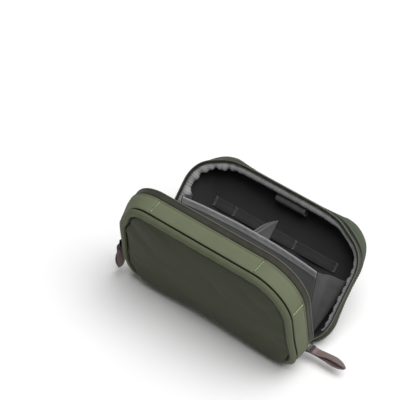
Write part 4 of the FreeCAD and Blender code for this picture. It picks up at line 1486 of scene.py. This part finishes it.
def pull_webbing(name, matrix, bow):
    """The folded webbing loop of a pull, twisted a little and pinched at its tip."""
    half = np.array(LOOP, float)
    upper = half * np.array([1, 1.0 + bow])
    lower = half[::-1] * np.array([1, -(1.0 + bow * 0.4)])
    line = np.concatenate([upper, lower[:-1]], 0) * MM
    line = np.concatenate([line, line[:1]], 0)
    way = running_length(line)
    fine = np.linspace(0, way[-1], 190)
    kernel = np.array([1, 2, 3, 2, 1]) / 9
    path = []
    for axis in (0, 1):
        values = np.interp(fine, way, line[:, axis])
        padded = np.concatenate([values[-3:-1], values, values[1:3]])
        path.append(np.convolve(padded, kernel, "valid"))
    along, over = path
    across = np.linspace(-1, 1, 10)
    narrow = np.interp(along / MM, [0, 40, 48, 54], [4.4, 4.3, 3.3, 1.2]) * MM
    sag = 0.35 * MM * np.sin(along / (8 * MM))
    wide = narrow[:, None] * across[None, :] + sag[:, None]
    high = over[:, None] * (1 - 0.12 * across[None, :] ** 2)
    twist = math.radians(24) * ease(along, 15 * MM, 34 * MM)[:, None]
    points = np.stack([np.repeat(along[:, None], 10, 1),
                       wide * np.cos(twist) - high * np.sin(twist),
                       high * np.cos(twist) + wide * np.sin(twist)], -1)
    add(sheet_of(f"{name}_loop", moved_by(matrix, points), 1.15 * MM), "webbing", name,
        "webbing", f"{name}_webbing")


def pull_cuff(name, matrix):
    """The short dark sleeve that holds the webbing near the link."""
    turns = np.linspace(0, 2 * math.pi, 28, endpoint=False)
    side = np.sign(np.cos(turns)) * np.abs(np.cos(turns)) ** 0.4 * 5.0
    top = np.sign(np.sin(turns)) * np.abs(np.sin(turns)) ** 0.6
    steps = ((5.7, 1.6, 0.8), (6.0, 2.2, 1.0), (9.0, 2.2, 1.0), (12.2, 1.9, 1.0),
             (12.5, 1.7, 0.94))
    rings = [np.stack([np.full(28, reach), side * share, top * height * share], 1)
             for reach, height, share in steps]
    cuff = moved_by(matrix, np.stack(rings) * MM)
    uv = metric(np.array(steps)[:, :1] * MM, turns[None, :] * 2 * MM)
    add(grid_piece(f"{name}_cuff", cuff, across=True, ends=True, uv=uv), "dark webbing", name,
        "webbing")


def pull_tacks(name, matrix):
    """The block of zigzag stitches on both faces of the webbing."""
    rows = []
    for top in (1, -1):
        for number in range(7):
            spot = 13.1 + 0.6 * number
            zig = np.array([(spot + (0.25 if k % 2 else -0.25), -3.6 + 0.9 * k, top * 1.5)
                            for k in range(9)]) * MM
            rows.append(tube(f"{name}_tack", moved_by(matrix, zig), 0.24 * MM, 5))
    add(join_pieces(f"{name}_bartack_threads", rows), "mauve thread", name, "thread",
        f"{name}_bartack")


def make_pull(name, matrix, bow):
    """A wire link and a folded webbing loop with its cuff and stitches."""
    pull_wire(name, matrix)
    pull_webbing(name, matrix, bow)
    pull_cuff(name, matrix)
    pull_tacks(name, matrix)


SLIDER_AT = math.radians(36)  # where the main slider stands on the low right corner
COVER_PULL_SPLAY = math.radians(12)


def in_front(x, y, z):
    """A direction given in the front half's own frame."""
    return np.array(front_matrix.to_3x3()) @ np.array([x, y, z])


def make_sliders():
    """Both sliders, each with its pull hanging from it."""
    angle = SLIDER_AT
    corner = LENGTH / 2 - LOW_RADIUS
    up = in_front(math.sin(angle), 0, -math.cos(angle))
    along = in_front(math.cos(angle), 0, math.sin(angle))
    depth, rise = in_front(0, -1, 0), in_front(0, 0, 1)
    radius = LOW_RADIUS - 0.6 * MM
    origin = in_half("front", corner + radius * math.sin(angle), 0.0,
                     LOW_RADIUS - radius * math.cos(angle))
    make_slider("main_slider", frame_of(origin, along, depth, up), 0.5, 3.6, -2.2, 4.4)
    make_pull("main_pull", frame_of(MAIN_PIVOT, in_front(1, 0, 0), depth, rise), 0.35)
    left = in_front(-1, 0, 0)
    origin = in_half("front", -LENGTH / 2, 31.8 * MM, 55 * MM)
    make_slider("cover_slider", frame_of(origin, rise, depth, left), 0.5, 5.0, -4.4, 0.6)
    down = in_front(-math.sin(COVER_PULL_SPLAY), 0, -math.cos(COVER_PULL_SPLAY))
    make_pull("cover_pull", frame_of(COVER_PIVOT, down, depth, np.cross(down, depth)), 0.1)


# ------------------------------------------------------------------ making

for half_name in ("front", "rear"):
    make_tape(half_name)
make_coils()
make_gusset()
make_gusset_lips()
make_cover_rim()
make_cover_face()
make_cover_back()
make_inner_wall()
make_side_panels()
make_divider()
make_organizer()
make_compartment_wall()
make_hinge_strips()
make_rear_tray()
make_lining_roll()
make_strap()
make_pen_loop()
make_sliders()

CARRIED = {"front_zip_stops": "metal", "rear_zip_stops": "metal"}
for node, look in CARRIED.items():
    mesh_object = frame["nodes"][node]
    if not mesh_object.material_slots:
        mesh_object.data.materials.append(LOOKS[look])
    for holder in mesh_object.material_slots:
        holder.material = LOOKS[look]


# ------------------------------------------------------------------ floor, light and camera

def backdrop():
    """A pale floor that runs up into a far wall."""
    profile = [(-3.0, 0), (1.2, 0), (1.8, 0.12), (2.2, 0.5), (2.4, 1.2), (2.4, 3.0)]
    rows = [[(x, y, z - 0.0004) for y, z in profile] for x in np.linspace(-4, 4, 9)]
    floor = grid_piece("studio_floor", np.array(rows, float))
    n = Nodes("studio paper", 0.9, False)
    n.colour(n.ramp(n.noise(3), (0.92, 0.92, 0.92), (0.95, 0.95, 0.95), 0.3, 0.7))
    floor.data.materials.append(n.material)


SUN_FROM, SUN_POWER, SUN_SPREAD = Vector((0.34, 0.02, 0.94)), 3.2, math.radians(55)
SKY_STRENGTH = 0.12

backdrop()
sun = bpy.data.lights.new("sun", "SUN")
sun.energy = SUN_POWER
sun.angle = SUN_SPREAD
holder = bpy.data.objects.new("sun", sun)
bpy.context.scene.collection.objects.link(holder)
holder.rotation_euler = SUN_FROM.to_track_quat("Z", "Y").to_euler()

world = bpy.data.worlds.new("studio")
world.use_nodes = True
world.node_tree.nodes["Background"].inputs["Color"].default_value = (1, 1, 1, 1)
world.node_tree.nodes["Background"].inputs["Strength"].default_value = SKY_STRENGTH
bpy.context.scene.world = world
bpy.context.scene.view_settings.view_transform = "Standard"

CAMERA_AZIMUTH, CAMERA_ELEVATION = math.radians(39.2), math.radians(43.7)
CAMERA_DISTANCE = 1.684
SENSOR, FOCAL = 36.0, 181.2
AIM = SPINE + Vector((174, -265, 460)) * MM

back = Vector((math.sin(CAMERA_AZIMUTH) * math.cos(CAMERA_ELEVATION),
               -math.cos(CAMERA_AZIMUTH) * math.cos(CAMERA_ELEVATION),
               math.sin(CAMERA_ELEVATION)))
lens = bpy.data.cameras.new("camera")
lens.sensor_width = SENSOR
lens.lens = FOCAL
lens.clip_start = 0.05
camera = bpy.data.objects.new("camera", lens)
bpy.context.scene.collection.objects.link(camera)
camera.location = AIM + back * CAMERA_DISTANCE
camera.rotation_euler = (-back).to_track_quat("-Z", "Y").to_euler()
bpy.context.scene.camera = camera
